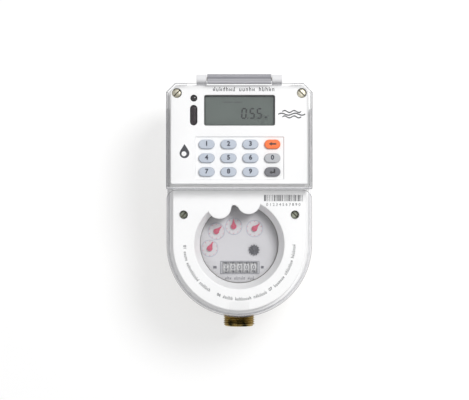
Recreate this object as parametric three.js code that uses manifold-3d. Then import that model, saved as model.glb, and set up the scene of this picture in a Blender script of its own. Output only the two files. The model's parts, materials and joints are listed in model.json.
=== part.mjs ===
// Prepaid water meter: a threaded brass multi-jet meter with a motor-driven ball valve on its
// outlet, carrying a white keypad housing with a clear dial cover and a clear flip-up lid.
// Millimetres. +Z is up, +Y runs from the inlet to the outlet, and the origin is the centre of
// the flat brass underside, on the axis of the impeller and the dial.
import * as THREE from "three";
import { mergeVertices } from "three/addons/utils/BufferGeometryUtils.js";
import Module from "manifold-3d";

// ---------------------------------------------------------------- driving dimensions
const GAP = 0.3; // clearance between neighbouring pieces

// Pipework
const PIPE_Z = 36; // height of the pipe axis
const INLET_Y = -71.5;
const OUTLET_Y = 93.5;
const THREAD_R = 13.22; // G3/4 B male thread
const THREAD_ROOT_R = 12.06;
const THREAD_PITCH = 1.814;
const THREAD_LENGTH = 13;
const BORE_R = 7.5; // DN15 waterway
const BASE_R = 33; // flat underside
const BOWL_R = 42;
const BOWL_TOP = 60;
const MOUTH_R = BOWL_R + 1.6; // thickened rim at the bowl's mouth, under the cap ring
const INLET_TUBE_R = THREAD_R + 1.4;
const CAP = { r: 47.5, foot: 52.4, seat: 63, top: 68, innerR: 36 };
const CAVITY_R = 38;
const CAVITY_FLOOR = 12;

// Valve
const VALVE_Y = 63;
const BALL_R = 9.4;
const CHAMBER_R = 10.4;
const CHAMBER_HALF = 9.8; // half of the ball chamber's length
const VALVE_BODY_R = 15.5;
const VALVE_BODY_END = VALVE_Y + 11;
const SEAT = { near: 6.8, far: 9.5 }; // a seat ring's distances from the ball's centre
const STEM_R = 3;
const GEAR_MODULE = 0.6;
const OUTPUT_TEETH = 36;
const PINION_TEETH = 12;
const GEAR_Z = 63.6;
const PINION_Y = VALVE_Y + (GEAR_MODULE * (OUTPUT_TEETH + PINION_TEETH)) / 2;

// Register
const CASE_R = 34.5;
const CASE_Z = 66.5;
const GLASS_TOP = 88;
const DIAL_TOP = 82.5;
const DIAL_THICKNESS = 1.2;
const COUNTER = { x: 0.5, y: -19.8, z: 75.2, pitch: 5.75, wheelR: 6.4, wheels: 5 };
const POINTERS = [
  { x: -24.5, y: -3.9, tip: 65 },
  { x: -19.0, y: 10.25, tip: 43 },
  { x: -4.6, y: 14.35, tip: 90 },
  { x: 12.75, y: 12.5, tip: 45 },
];
const STAR = { x: 12.4, y: -5.2, radius: 4.9, points: 12 };

// Housing
const SHELL_R = 59.6; // rounded dial end, and half of the width
const HOUSING_Z = 56;
const LEDGE_Z = 90; // step that the clear cover stands on
const NECK_HALF = 57;
const NECK_TOP = 92;
const TRAY_WALL = 2.6;
const TRAY_FLOOR = 3;
const COLLAR = { r: 49.6, top: 71.2, recessR: 47.9, recessTop: 68.3, holeR: 36 };
const STEM_OPENING_R = 9;
const PANEL_Z = 93.6; // lower edge of the top panel
const LOWER_FACE = 104;
const LOWER_FACE_R = 54.5;
const UPPER_FACE = 112;
const UPPER_HALF = 56.2;
const UPPER_FRONT = 49.3;
const UPPER_REAR = 130.1;
const PLATE = 2.3; // moulded wall thickness
const DIAL_OPENING_R = 37;
const FUNNEL_FOOT_R = 32.6;
const FUNNEL_FOOT = 89;
const FUNNEL_WALL = 1.9;
const CORNER_CUT = 7.4; // 45 degree cut on the two rear corners
const PANEL_CORNER_CUT = 4.9;
const LOBES = [
  { x: -16.3, y: 30.6, r: 9.8 },
  { x: 7.7, y: 34.2, r: 9.6 },
];
const NOTCH = { x: -4.2, y: 29.8, r: 2.4 };

// Clear cover, lid and hinge
const COVER_TOP = 106.8;
const CLEAR_WALL = 1.7;
const COVER_REAR = 44.8;
const LID_TOP = 120;
const LID_PLATE = 2;
const LID_FRONT = 45.2;
const LID_REAR = 131.3;
const LID_HALF = 59.4;
const SKIRT_FOOT = 93.5;
const SKIRT_STEP_Y = 110.9;
const SHORT_SKIRT_FOOT = 112.6;
const HINGE = { y: 134.7, z: 116, barrelR: 4.1, barrelHalf: 26.1, pinR: 1.5, boreR: 1.75 };
const KNUCKLE = { r: 3.5, from: 26.6, to: 34.8 };

// Front panel openings
const LCD = { x: 0.2, y: 109.5, width: 57.8, depth: 24.9 };
const KEYPAD = { x: 0.2, y: 70.5, width: 72.3, depth: 34.7, pitchX: 17.9, pitchY: 11.25 };
const KEY = { length: 12.8, width: 7.3, top: 113.2 };
const LED = { x: -37.1, y: 119.4, r: 2.8 };
const INFRARED = { x: -37.2, y: 105.5, width: 6, length: 16.7 };
const SCREWS = [
  { name: "screw_rear_left", x: -51, y: 123.6, headTop: 110, length: 30, holeR: 4, face: UPPER_FACE },
  { name: "screw_rear_right", x: 51, y: 123.6, headTop: 110, length: 30, holeR: 4, face: UPPER_FACE },
  { name: "screw_front_left", x: -45.7, y: 24.2, headTop: 98.5, length: 18, holeR: 3.5, face: LOWER_FACE },
  { name: "screw_front_right", x: 45.7, y: 24.2, headTop: 98.5, length: 18, holeR: 3.5, face: LOWER_FACE },
];
const SCREW_HEAD = { height: 2.2, shankR: 1.6 };
const SOCKET_WALL = 1.6;
const MAT = { foot: 106.6, top: 110.7 };
const BOARD_TOP = 104;

// ---------------------------------------------------------------- solids
const wasm = await Module();
wasm.setup();

function solid(geometry) {
  const bare = geometry.clone();
  bare.deleteAttribute("normal");
  bare.deleteAttribute("uv");
  const merged = mergeVertices(bare, 1e-4);
  return new wasm.Manifold(
    new wasm.Mesh({
      numProp: 3,
      vertProperties: merged.attributes.position.array,
      triVerts: new Uint32Array(merged.index.array),
    }),
  );
}

function union(...pieces) {
  return pieces.reduce((whole, piece) => whole.add(piece));
}

function cut(body, ...tools) {
  return tools.reduce((rest, tool) => rest.subtract(tool), body);
}

// An upright cylinder or cone between two heights.
function disc(radius, low, high, { x = 0, y = 0, topRadius = radius, sides = 32 } = {}) {
  const geometry = new THREE.CylinderGeometry(topRadius, radius, high - low, sides);
  geometry.rotateX(Math.PI / 2);
  geometry.translate(x, y, (low + high) / 2);
  return solid(geometry);
}

function ring(outer, inner, low, high, place = {}) {
  return cut(disc(outer, low, high, place), disc(inner, low - 1, high + 1, place));
}

function rodAlongX(radius, from, to, y, z, sides = 24) {
  const geometry = new THREE.CylinderGeometry(radius, radius, to - from, sides);
  geometry.rotateZ(-Math.PI / 2);
  geometry.translate((from + to) / 2, y, z);
  return solid(geometry);
}

function rodAlongY(radius, from, to, x, z, sides = 20) {
  const geometry = new THREE.CylinderGeometry(radius, radius, to - from, sides);
  geometry.translate(x, (from + to) / 2, z);
  return solid(geometry);
}

function block(x0, x1, y0, y1, z0, z1) {
  const geometry = new THREE.BoxGeometry(x1 - x0, y1 - y0, z1 - z0);
  geometry.translate((x0 + x1) / 2, (y0 + y1) / 2, (z0 + z1) / 2);
  return solid(geometry);
}

// A flat outline raised between two heights.
function prism(shape, low, high, curveSegments = 8) {
  const geometry = new THREE.ExtrudeGeometry(shape, {
    depth: high - low,
    bevelEnabled: false,
    curveSegments,
  });
  geometry.translate(0, 0, low);
  return solid(geometry);
}

// A profile of [radius, height] points turned about the Z axis. It is listed anticlockwise.
function revolve(profile, sides = 32) {
  const points = profile.map(([radius, height]) => new THREE.Vector2(radius, height));
  const geometry = new THREE.LatheGeometry(points, sides);
  geometry.rotateX(Math.PI / 2);
  return solid(geometry);
}

// ---------------------------------------------------------------- outlines
function polygon(points) {
  return new THREE.Shape(points.map(([x, y]) => new THREE.Vector2(x, y)));
}

function roundedRectangle(x, y, width, depth, radius) {
  const [w, d] = [width / 2 - radius, depth / 2 - radius];
  const shape = new THREE.Shape();
  shape.absarc(x + w, y + d, radius, 0, Math.PI / 2);
  shape.absarc(x - w, y + d, radius, Math.PI / 2, Math.PI);
  shape.absarc(x - w, y - d, radius, Math.PI, 1.5 * Math.PI);
  shape.absarc(x + w, y - d, radius, 1.5 * Math.PI, 2 * Math.PI);
  return shape;
}

// A slot with half-round ends, along X or along Y, whichever is longer.
function obround(x, y, width, depth) {
  const radius = Math.min(width, depth) / 2;
  const [dx, dy] = [width / 2 - radius, depth / 2 - radius];
  const start = width > depth ? -Math.PI / 2 : 0;
  const shape = new THREE.Shape();
  shape.absarc(x + dx, y + dy, radius, start, start + Math.PI);
  shape.absarc(x - dx, y - dy, radius, start + Math.PI, start + 2 * Math.PI);
  return shape;
}

// The housing seen from above: round at the dial end, cut corners at the hinge end.
function shield(half, rear, corner) {
  const shape = new THREE.Shape();
  shape.absarc(0, 0, half, Math.PI, 2 * Math.PI);
  shape.lineTo(half, rear - corner);
  shape.lineTo(half - corner, rear);
  shape.lineTo(corner - half, rear);
  shape.lineTo(-half, rear - corner);
  return shape;
}

// A rounded end with straight sides and square rear corners.
function arch(radius, rear) {
  const shape = new THREE.Shape();
  shape.absarc(0, 0, radius, Math.PI, 2 * Math.PI);
  shape.lineTo(radius, rear);
  shape.lineTo(-radius, rear);
  return shape;
}

// The same with rounded rear corners.
function tongue(radius, rear, corner) {
  const shape = new THREE.Shape();
  shape.absarc(0, 0, radius, Math.PI, 2 * Math.PI);
  shape.absarc(radius - corner, rear - corner, corner, 0, Math.PI / 2);
  shape.absarc(corner - radius, rear - corner, corner, Math.PI / 2, Math.PI);
  return shape;
}

function cutCornerRectangle(half, front, rear, corner) {
  return polygon([
    [-half, front],
    [half, front],
    [half, rear - corner],
    [half - corner, rear],
    [corner - half, rear],
    [-half, rear - corner],
  ]);
}

// Straight-flanked teeth, thin enough to leave running backlash.
function gearOutline(teeth, phase) {
  const pitchR = (GEAR_MODULE * teeth) / 2;
  const step = (2 * Math.PI) / teeth;
  const rootR = pitchR - 1.15 * GEAR_MODULE;
  const tipR = pitchR + 0.85 * GEAR_MODULE;
  const corners = [
    [rootR, -0.25],
    [tipR, -0.1],
    [tipR, 0.1],
    [rootR, 0.25],
  ];
  const points = [];
  for (let tooth = 0; tooth < teeth; tooth += 1) {
    for (const [radius, share] of corners) {
      const angle = phase + (tooth + share) * step;
      points.push([radius * Math.cos(angle), radius * Math.sin(angle)]);
    }
  }
  return polygon(points);
}

// ---------------------------------------------------------------- scene helpers
const PLASTIC = { roughness: 0.45, metalness: 0 };
const CLEAR = { roughness: 0.08, metalness: 0, transparent: true, opacity: 0.3 };
const METAL = { roughness: 0.35, metalness: 1 };
const BRASS = { ...METAL, color: 0xb08d4a };
const WHITE = { ...PLASTIC, color: 0xf4f4f2 };
const NICKEL = { ...METAL, color: 0xb9b5a4 };
const SEAT_FINISH = { ...PLASTIC, color: 0xf0efe9 };

function addPart(parent, name, body, finish) {
  const mesh = body.getMesh();
  const geometry = new THREE.BufferGeometry();
  geometry.setAttribute("position", new THREE.BufferAttribute(new Float32Array(mesh.vertProperties), 3));
  geometry.setIndex(new THREE.BufferAttribute(new Uint32Array(mesh.triVerts), 1));
  geometry.computeVertexNormals();
  const part = new THREE.Mesh(geometry, new THREE.MeshStandardMaterial(finish));
  part.name = name;
  parent.add(part);
  return part;
}

function addGroup(parent, name) {
  const group = new THREE.Group();
  group.name = name;
  parent.add(group);
  return group;
}

// ---------------------------------------------------------------- brass meter body
// A ridged male thread that ends at "end" and runs "length" back along Y, as a solid rod.
function threadedRod(end, length, direction) {
  const ridges = Math.floor(length / THREAD_PITCH);
  const profile = [[0, 0]];
  for (let ridge = 0; ridge < ridges; ridge += 1) {
    profile.push([THREAD_ROOT_R, ridge * THREAD_PITCH]);
    profile.push([THREAD_R, (ridge + 0.5) * THREAD_PITCH]);
  }
  profile.push([THREAD_ROOT_R, ridges * THREAD_PITCH]);
  profile.push([THREAD_ROOT_R, length]);
  profile.push([0, length]);
  const geometry = new THREE.LatheGeometry(
    profile.map(([radius, along]) => new THREE.Vector2(radius, along)),
    20,
  );
  if (direction < 0) {
    geometry.rotateX(Math.PI);
  }
  geometry.translate(0, end, PIPE_Z);
  return solid(geometry);
}

function brassBody() {
  const bowl = revolve([
    [0, 0],
    [BASE_R, 0],
    [BASE_R + 2, 2],
    [BOWL_R - 1.5, 16],
    [BOWL_R, 22],
    [BOWL_R, 50],
    [MOUTH_R, 51.5],
    [MOUTH_R, BOWL_TOP],
    [0, BOWL_TOP],
  ]);
  const inlet = union(
    threadedRod(INLET_Y, THREAD_LENGTH, 1),
    rodAlongY(INLET_TUBE_R, INLET_Y + THREAD_LENGTH, -30, 0, PIPE_Z),
  );
  const valveBody = union(
    rodAlongY(VALVE_BODY_R, 30, VALVE_BODY_END, 0, PIPE_Z),
    disc(8, PIPE_Z, BOWL_TOP, { y: VALVE_Y, sides: 24 }),
  );
  return cut(
    union(bowl, inlet, valveBody),
    disc(CAVITY_R, CAVITY_FLOOR, BOWL_TOP + 1),
    rodAlongY(BORE_R, INLET_Y - 1, 0, 0, PIPE_Z),
    rodAlongY(BORE_R, 0, VALVE_Y, 0, PIPE_Z),
    rodAlongY(CHAMBER_R, VALVE_Y - CHAMBER_HALF, VALVE_BODY_END + 1, 0, PIPE_Z),
    disc(STEM_R + 0.35, PIPE_Z, BOWL_TOP + 1, { y: VALVE_Y, sides: 24 }),
  );
}

function valveEndFitting() {
  const seatEnd = VALVE_Y + CHAMBER_HALF;
  const hexagonLength = 6;
  const hexagon = new THREE.CylinderGeometry(16.5, 16.5, hexagonLength, 6);
  hexagon.rotateY(Math.PI / 6);
  hexagon.translate(0, VALVE_BODY_END + GAP + hexagonLength / 2, PIPE_Z);
  return cut(
    union(
      rodAlongY(CHAMBER_R - GAP, seatEnd, VALVE_Y + 14, 0, PIPE_Z),
      solid(hexagon),
      threadedRod(OUTLET_Y, THREAD_LENGTH + 1, -1),
    ),
    rodAlongY(BORE_R, seatEnd - 1, OUTLET_Y + 1, 0, PIPE_Z),
  );
}

function capRing() {
  const ringBody = revolve([
    [MOUTH_R + GAP, CAP.foot],
    [CAP.r, CAP.foot],
    [CAP.r, CAP.top - 1],
    [CAP.r - 1, CAP.top],
    [CAP.innerR, CAP.top],
    [CAP.innerR, CAP.seat],
    [MOUTH_R + GAP, CAP.seat],
    [MOUTH_R + GAP, CAP.foot],
  ]);
  const grips = 8;
  const notches = [];
  for (let grip = 0; grip < grips; grip += 1) {
    const angle = (2 * Math.PI * grip) / grips;
    const [x, y] = [(CAP.r + 1.1) * Math.cos(angle), (CAP.r + 1.1) * Math.sin(angle)];
    notches.push(disc(2.4, CAP.foot - 2.4, CAP.foot + 3.3, { x, y, sides: 8 }));
  }
  return cut(ringBody, ...notches);
}

// A perforated thimble in the inlet.
function inletStrainer() {
  const [front, back] = [-60, -44];
  const shell = cut(
    rodAlongY(BORE_R - GAP, front, back, 0, PIPE_Z, 24),
    rodAlongY(BORE_R - 1.3, front - 1, back - 1.2, 0, PIPE_Z, 24),
  );
  const holes = [];
  for (const along of [-56, -50]) {
    holes.push(disc(1.6, PIPE_Z - 10, PIPE_Z + 10, { y: along, sides: 8 }));
    holes.push(rodAlongX(1.6, -10, 10, along, PIPE_Z, 8));
  }
  holes.push(rodAlongY(2.2, back - 2, back + 1, 0, PIPE_Z, 12));
  return cut(shell, ...holes);
}

// The plastic chamber round the impeller, with slanted jets low down and ports above them.
function measuringChamber() {
  const [foot, top] = [CAVITY_FLOOR + GAP, 56.4];
  const jets = [];
  const count = 6;
  for (let jet = 0; jet < count; jet += 1) {
    const angle = (2 * Math.PI * jet) / count;
    for (const [low, slant] of [[22, 0.6], [42, -0.6]]) {
      const slot = new THREE.BoxGeometry(14, 3.6, 7);
      slot.rotateZ(slant);
      slot.translate(30, 0, low + 3.5);
      slot.rotateZ(angle);
      jets.push(solid(slot));
    }
  }
  const cup = cut(disc(32, foot, top, { sides: 32 }), disc(29, foot + 2.5, top + 1, { sides: 32 }));
  const pivot = disc(1.2, foot + 2, 17.6, { sides: 12 });
  return union(cut(cup, ...jets), pivot);
}

function impeller() {
  const [foot, top] = [20, 44];
  const blades = 7;
  let wheel = disc(4.5, foot, 52, { sides: 20 });
  for (let blade = 0; blade < blades; blade += 1) {
    const vane = new THREE.BoxGeometry(21, 1.4, top - foot - 4);
    vane.translate(14, 0, (foot + top) / 2);
    vane.rotateZ((2 * Math.PI * blade) / blades);
    wheel = wheel.add(solid(vane));
  }
  const magnetHolder = disc(8, 51, 55, { sides: 24 });
  const cup = disc(1.6, foot - 1, 24, { sides: 12 });
  return cut(union(wheel, magnetHolder), cup);
}

function pressurePlate() {
  return revolve([
    [0, 57.2],
    [37.5, 57.2],
    [37.5, 61.6],
    [43.4, 61.6],
    [43.4, 62.7],
    [35.7, 62.7],
    [35.7, 66.2],
    [0, 66.2],
  ], 32);
}

// ---------------------------------------------------------------- outlet valve
function valveBall() {
  const sphere = new THREE.SphereGeometry(BALL_R, 16, 10);
  sphere.rotateX(Math.PI / 2);
  sphere.translate(0, VALVE_Y, PIPE_Z);
  return cut(
    solid(sphere),
    rodAlongY(6.3, VALVE_Y - 12, VALVE_Y + 12, 0, PIPE_Z, 24),
    block(-12, 12, VALVE_Y - 1.8, VALVE_Y + 1.8, PIPE_Z + 7, PIPE_Z + 12),
  );
}

function valveStem() {
  const gear = prism(gearOutline(OUTPUT_TEETH, 0), GEAR_Z, GEAR_Z + 3.4).translate([0, VALVE_Y, 0]);
  return union(
    block(-2.4, 2.4, VALVE_Y - 1.5, VALVE_Y + 1.5, PIPE_Z + 7.3, PIPE_Z + 11),
    disc(STEM_R, PIPE_Z + 10.2, GEAR_Z + 6, { y: VALVE_Y, sides: 24 }),
    gear,
  );
}

function valveSeat(from, to) {
  return cut(
    rodAlongY(CHAMBER_R - GAP, from, to, 0, PIPE_Z, 24),
    rodAlongY(6.9, from - 1, to + 1, 0, PIPE_Z, 24),
  );
}

function actuatorCase() {
  const [front, rear] = [50, 86.6];
  const centre = (front + rear) / 2;
  const outer = roundedRectangle(0, centre, 29, rear - front, 4);
  const inner = roundedRectangle(0, centre, 26.2, rear - front - 2.7, 2.6);
  return cut(
    prism(outer, HOUSING_Z + 3 + GAP, 87, 3),
    prism(inner, HOUSING_Z + 2, 85.4, 3),
    disc(1.6, 84, 88, { x: 9, y: VALVE_Y, sides: 12 }),
  );
}

function valveMotor() {
  return cut(
    union(
      disc(6.2, 69.3, 83.6, { y: PINION_Y, sides: 24 }),
      disc(2.4, 83, 84.9, { y: PINION_Y, sides: 16 }),
    ),
    disc(1.35, 68, 73, { y: PINION_Y, sides: 12 }),
  );
}

function motorPinion() {
  const gear = prism(gearOutline(PINION_TEETH, Math.PI / PINION_TEETH), GEAR_Z + 0.2, GEAR_Z + 3.6);
  return union(gear, disc(1, GEAR_Z + 3, 72.4, { sides: 12 })).translate([0, PINION_Y, 0]);
}

// ---------------------------------------------------------------- register
function registerCase() {
  return revolve([
    [0, CASE_Z],
    [CASE_R, CASE_Z],
    [CASE_R, 84.4],
    [CASE_R - 1.6, 84.4],
    [CASE_R - 1.6, CASE_Z + 2],
    [0, CASE_Z + 2],
  ]);
}

// The glass is a cap over the case, with a rim that holds it.
function registerGlass() {
  return revolve([
    [0, GLASS_TOP - 2.2],
    [CASE_R - 2.4, GLASS_TOP - 2.2],
    [CASE_R - 2.4, 84.7],
    [CASE_R, 84.7],
    [CASE_R, GLASS_TOP - 1.2],
    [CASE_R - 1.2, GLASS_TOP],
    [0, GLASS_TOP],
  ]);
}

function dialPlate() {
  const plate = disc(32.4, DIAL_TOP - DIAL_THICKNESS, DIAL_TOP);
  const window = roundedRectangle(COUNTER.x, COUNTER.y, 31.4, 9.2, 1);
  const holes = [...POINTERS, STAR].map(({ x, y }) => disc(0.95, 70, 90, { x, y, sides: 10 }));
  return cut(plate, prism(window, 70, 90, 2), ...holes);
}

function counterAxle() {
  return rodAlongX(0.8, COUNTER.x - 17.5, COUNTER.x + 17.5, COUNTER.y, COUNTER.z, 12);
}

function numberWheel() {
  const wheel = rodAlongX(COUNTER.wheelR, -2.4, 2.4, 0, 0, 20);
  return cut(wheel, rodAlongX(1.05, -4, 4, 0, 0, 8));
}

// A teardrop hand on a spindle: the tip points along +X.
function pointer() {
  const hand = new THREE.Shape();
  hand.absarc(0, 0, 2.4, Math.PI / 3, (5 * Math.PI) / 3);
  hand.lineTo(6, -0.35);
  hand.lineTo(6, 0.35);
  return union(
    prism(hand, 1.1, 1.9, 3),
    disc(1.2, 0.7, 2.5, { sides: 8 }),
    disc(0.6, -4.5, 1, { sides: 8 }),
  );
}

function starWheel() {
  const points = [];
  for (let corner = 0; corner < 2 * STAR.points; corner += 1) {
    const angle = (Math.PI * corner) / STAR.points;
    const radius = corner % 2 === 0 ? STAR.radius : STAR.radius - 1.3;
    points.push([radius * Math.cos(angle), radius * Math.sin(angle)]);
  }
  return union(
    prism(polygon(points), 0.9, 1.9),
    disc(1.2, 0.7, 2.5, { sides: 8 }),
    disc(0.6, -4.5, 1, { sides: 8 }),
  );
}

// ---------------------------------------------------------------- housing
function screwBosses() {
  return SCREWS.map(({ x, y }) => disc(4, HOUSING_Z + 1, NECK_TOP - GAP, { x, y, sides: 16 }));
}

function screwPilots() {
  return SCREWS.map(({ x, y }) =>
    disc(SCREW_HEAD.shankR + GAP, HOUSING_Z + 6, LOWER_FACE, { x, y, sides: 10 }));
}

function baseHousing() {
  const neckHalf = NECK_HALF + 0.6;
  const neckRear = LID_REAR - 2;
  const tray = cut(
    prism(shield(SHELL_R, LID_REAR, CORNER_CUT), HOUSING_Z, LEDGE_Z, 10),
    prism(
      shield(SHELL_R - TRAY_WALL, LID_REAR - TRAY_WALL, CORNER_CUT),
      HOUSING_Z + TRAY_FLOOR, LEDGE_Z + 1, 10),
  );
  const neck = cut(
    prism(shield(neckHalf, neckRear, CORNER_CUT), LEDGE_Z - 2.5, NECK_TOP, 10),
    prism(shield(neckHalf - TRAY_WALL, neckRear - TRAY_WALL, CORNER_CUT), LEDGE_Z - 3, NECK_TOP + 1, 10),
  );
  const collar = ring(COLLAR.r, COLLAR.holeR, HOUSING_Z, COLLAR.top);
  return cut(
    union(tray, neck, collar, ...screwBosses()),
    disc(COLLAR.recessR, HOUSING_Z - 1, COLLAR.recessTop),
    disc(STEM_OPENING_R, HOUSING_Z - 1, HOUSING_Z + TRAY_FLOOR + 1, { y: VALVE_Y, sides: 24 }),
    ...screwPilots(),
  );
}

function panelGasket() {
  return cut(
    prism(shield(NECK_HALF + 0.4, LID_REAR - 2.2, CORNER_CUT), NECK_TOP + GAP, PANEL_Z - GAP, 10),
    prism(shield(NECK_HALF - 0.8, LID_REAR - 3.4, CORNER_CUT - 1.4), NECK_TOP, PANEL_Z, 10),
  );
}

// The white fill that reaches into the dial opening: two round lobes with a rounded notch between.
function dialLobes(low, high) {
  const [left, right] = LOBES;
  const fill = polygon([
    [left.x, left.y],
    [NOTCH.x, NOTCH.y],
    [right.x, right.y],
    [right.x, DIAL_OPENING_R + 3],
    [left.x, DIAL_OPENING_R + 3],
  ]);
  const discs = LOBES.map(({ x, y, r }) => disc(r, low, high, { x, y, sides: 28 }));
  return cut(
    union(prism(fill, low, high), ...discs),
    disc(NOTCH.r, low - 1, high + 1, { x: NOTCH.x, y: NOTCH.y, sides: 16 }),
  );
}

function funnel() {
  return disc(FUNNEL_FOOT_R + FUNNEL_WALL, FUNNEL_FOOT, LOWER_FACE - 0.5, {
    topRadius: DIAL_OPENING_R + FUNNEL_WALL,
    sides: 36,
  });
}

function funnelHollow() {
  const slope = (DIAL_OPENING_R - FUNNEL_FOOT_R) / (LOWER_FACE - FUNNEL_FOOT);
  return disc(FUNNEL_FOOT_R - slope, FUNNEL_FOOT - 1, LOWER_FACE + 1, {
    topRadius: DIAL_OPENING_R + slope,
    sides: 36,
  });
}

// Pillars that hang from the face and end in a seat for each screw head.
function screwSockets() {
  return SCREWS.map(({ x, y, holeR, face }) =>
    disc(holeR + SOCKET_WALL, PANEL_Z, face - 1, { x, y, sides: 20 }));
}

function screwOpenings() {
  const tools = [];
  for (const { x, y, headTop, holeR } of SCREWS) {
    const seat = headTop - SCREW_HEAD.height - GAP;
    tools.push(disc(holeR, seat, UPPER_FACE + 1, { x, y, sides: 20 }));
    tools.push(disc(SCREW_HEAD.shankR + GAP, PANEL_Z - 1, seat + 1, { x, y, sides: 10 }));
  }
  return tools;
}

// Arms that rise from the rear edge of the panel and carry the hinge pin.
function knuckles() {
  const { y, z } = HINGE;
  const arm = new THREE.Shape();
  arm.moveTo(y - 7, UPPER_FACE - PLATE);
  arm.lineTo(y - 2, UPPER_FACE - PLATE);
  arm.lineTo(y + 2.4, z - 2.4);
  arm.lineTo(y - 2.4, z + 1.2);
  arm.lineTo(y - 5.2, UPPER_FACE);
  arm.lineTo(y - 7, UPPER_FACE);
  const geometry = new THREE.ExtrudeGeometry(arm, { depth: KNUCKLE.to - KNUCKLE.from, bevelEnabled: false });
  // The outline is drawn in the Y-Z plane and raised along X.
  const turn = new THREE.Matrix4().set(0, 0, 1, KNUCKLE.from, 1, 0, 0, 0, 0, 1, 0, 0, 0, 0, 0, 1);
  geometry.applyMatrix4(turn);
  const right = union(solid(geometry), rodAlongX(KNUCKLE.r, KNUCKLE.from, KNUCKLE.to, y, z));
  const left = right.mirror([1, 0, 0]);
  return [right, left];
}

function panelOpenings() {
  const [low, high] = [UPPER_FACE - 2 * PLATE, UPPER_FACE + 1];
  return [
    prism(roundedRectangle(LCD.x, LCD.y, LCD.width, LCD.depth, 1.5), low, high, 2),
    prism(roundedRectangle(KEYPAD.x, KEYPAD.y, KEYPAD.width, KEYPAD.depth, 0.8), low, high, 1),
    prism(obround(INFRARED.x, INFRARED.y, INFRARED.width, INFRARED.length), low, high, 4),
    disc(LED.r, low, high, { x: LED.x, y: LED.y, sides: 16 }),
  ];
}

function topPanel() {
  const flange = prism(shield(NECK_HALF + 0.2, LID_REAR - 1.8, CORNER_CUT), PANEL_Z, PANEL_Z + 2, 12);
  const lower = prism(arch(LOWER_FACE_R, UPPER_FRONT + 10), PANEL_Z, LOWER_FACE, 12);
  const upper = prism(
    cutCornerRectangle(UPPER_HALF, UPPER_FRONT, UPPER_REAR, PANEL_CORNER_CUT), PANEL_Z, UPPER_FACE);
  const body = union(flange, lower, upper);
  const lowerHollow = prism(
    arch(LOWER_FACE_R - PLATE, UPPER_FRONT + PLATE + 1), PANEL_Z - 1, LOWER_FACE - PLATE, 12);
  const upperHollow = prism(
    cutCornerRectangle(UPPER_HALF - PLATE, UPPER_FRONT + PLATE, UPPER_REAR - PLATE, PANEL_CORNER_CUT),
    PANEL_Z - 1, UPPER_FACE - PLATE);
  const lobeClip = disc(FUNNEL_FOOT_R + 1, FUNNEL_FOOT, LOWER_FACE, {
    topRadius: DIAL_OPENING_R + 1,
    sides: 36,
  });
  const sockets = screwSockets().map((socket) => socket.intersect(body));
  const shell = union(cut(body, lowerHollow, upperHollow), funnel(), ...sockets);
  const lobes = dialLobes(FUNNEL_FOOT, LOWER_FACE).intersect(lobeClip);
  return cut(
    union(shell.subtract(funnelHollow()), lobes, ...knuckles()),
    ...screwOpenings(),
    ...panelOpenings(),
    rodAlongX(HINGE.boreR, -40, 40, HINGE.y, HINGE.z),
  );
}

function lowerClearCover() {
  const outer = prism(tongue(SHELL_R, COVER_REAR, 8), LEDGE_Z + GAP, COVER_TOP, 12);
  const inner = prism(
    arch(SHELL_R - CLEAR_WALL, COVER_REAR + 20), LEDGE_Z, COVER_TOP - CLEAR_WALL, 12);
  const tab = prism(roundedRectangle(0, -51.5, 16, 9, 1), COVER_TOP - 0.5, COVER_TOP + 0.4, 1);
  const access = SCREWS.slice(2).map(({ x, y, holeR }) =>
    disc(holeR, COVER_TOP - 5, COVER_TOP + 1, { x, y, sides: 20 }));
  return cut(outer.add(tab), inner, ...access);
}

// The clear lid in its own frame, with the hinge axis at its origin.
function flipLid() {
  const [plateLow, foot] = [LID_TOP - LID_PLATE, COVER_TOP + 0.4 + GAP];
  const plate = prism(cutCornerRectangle(LID_HALF, LID_FRONT, LID_REAR, CORNER_CUT), plateLow, LID_TOP);
  const walls = cut(
    prism(cutCornerRectangle(LID_HALF, LID_FRONT, LID_REAR, CORNER_CUT), SKIRT_FOOT, plateLow + 0.5),
    prism(
      cutCornerRectangle(LID_HALF - CLEAR_WALL, LID_FRONT + CLEAR_WALL, LID_REAR, CORNER_CUT + 0.7),
      SKIRT_FOOT - 1, plateLow),
    block(-100, 100, SKIRT_STEP_Y, 200, 0, SHORT_SKIRT_FOOT),
    block(-KNUCKLE.to - 8, KNUCKLE.to + 8, SKIRT_STEP_Y, 200, 0, plateLow),
    // The front lip and the skirts beside it stop above the clear cover.
    block(-100, 100, 0, LID_FRONT + CLEAR_WALL + 0.5, 0, foot),
  );
  const barrel = union(
    rodAlongX(HINGE.barrelR, -HINGE.barrelHalf, HINGE.barrelHalf, HINGE.y, HINGE.z, 32),
    block(-HINGE.barrelHalf, HINGE.barrelHalf, LID_REAR - 2, HINGE.y, plateLow, LID_TOP),
  );
  const bore = rodAlongX(HINGE.boreR, -40, 40, HINGE.y, HINGE.z);
  return cut(union(plate, walls, barrel), bore).translate([0, -HINGE.y, -HINGE.z]);
}

// A slotted pan-head screw with its head's top at the origin.
function screw(length, r) {
  const { height, shankR } = SCREW_HEAD;
  const turned = revolve([
    [0, -length],
    [shankR * 0.4, -length],
    [shankR, 1.5 - length],
    [shankR, -height],
    [r, -height],
    [r, -0.7],
    [r * 0.75, 0],
    [0, 0],
  ], 16);
  return cut(turned, block(-5, 5, -0.45, 0.45, -1.1, 1));
}

// ---------------------------------------------------------------- electronics
function mainBoard() {
  return cut(
    prism(roundedRectangle(0, 89.5, 86, 71, 2), BOARD_TOP - 1.6, BOARD_TOP, 2),
    disc(1.6, 90, 110, { x: -39, y: 58, sides: 10 }),
    disc(1.6, 90, 110, { x: 39, y: 58, sides: 10 }),
  );
}

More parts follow.
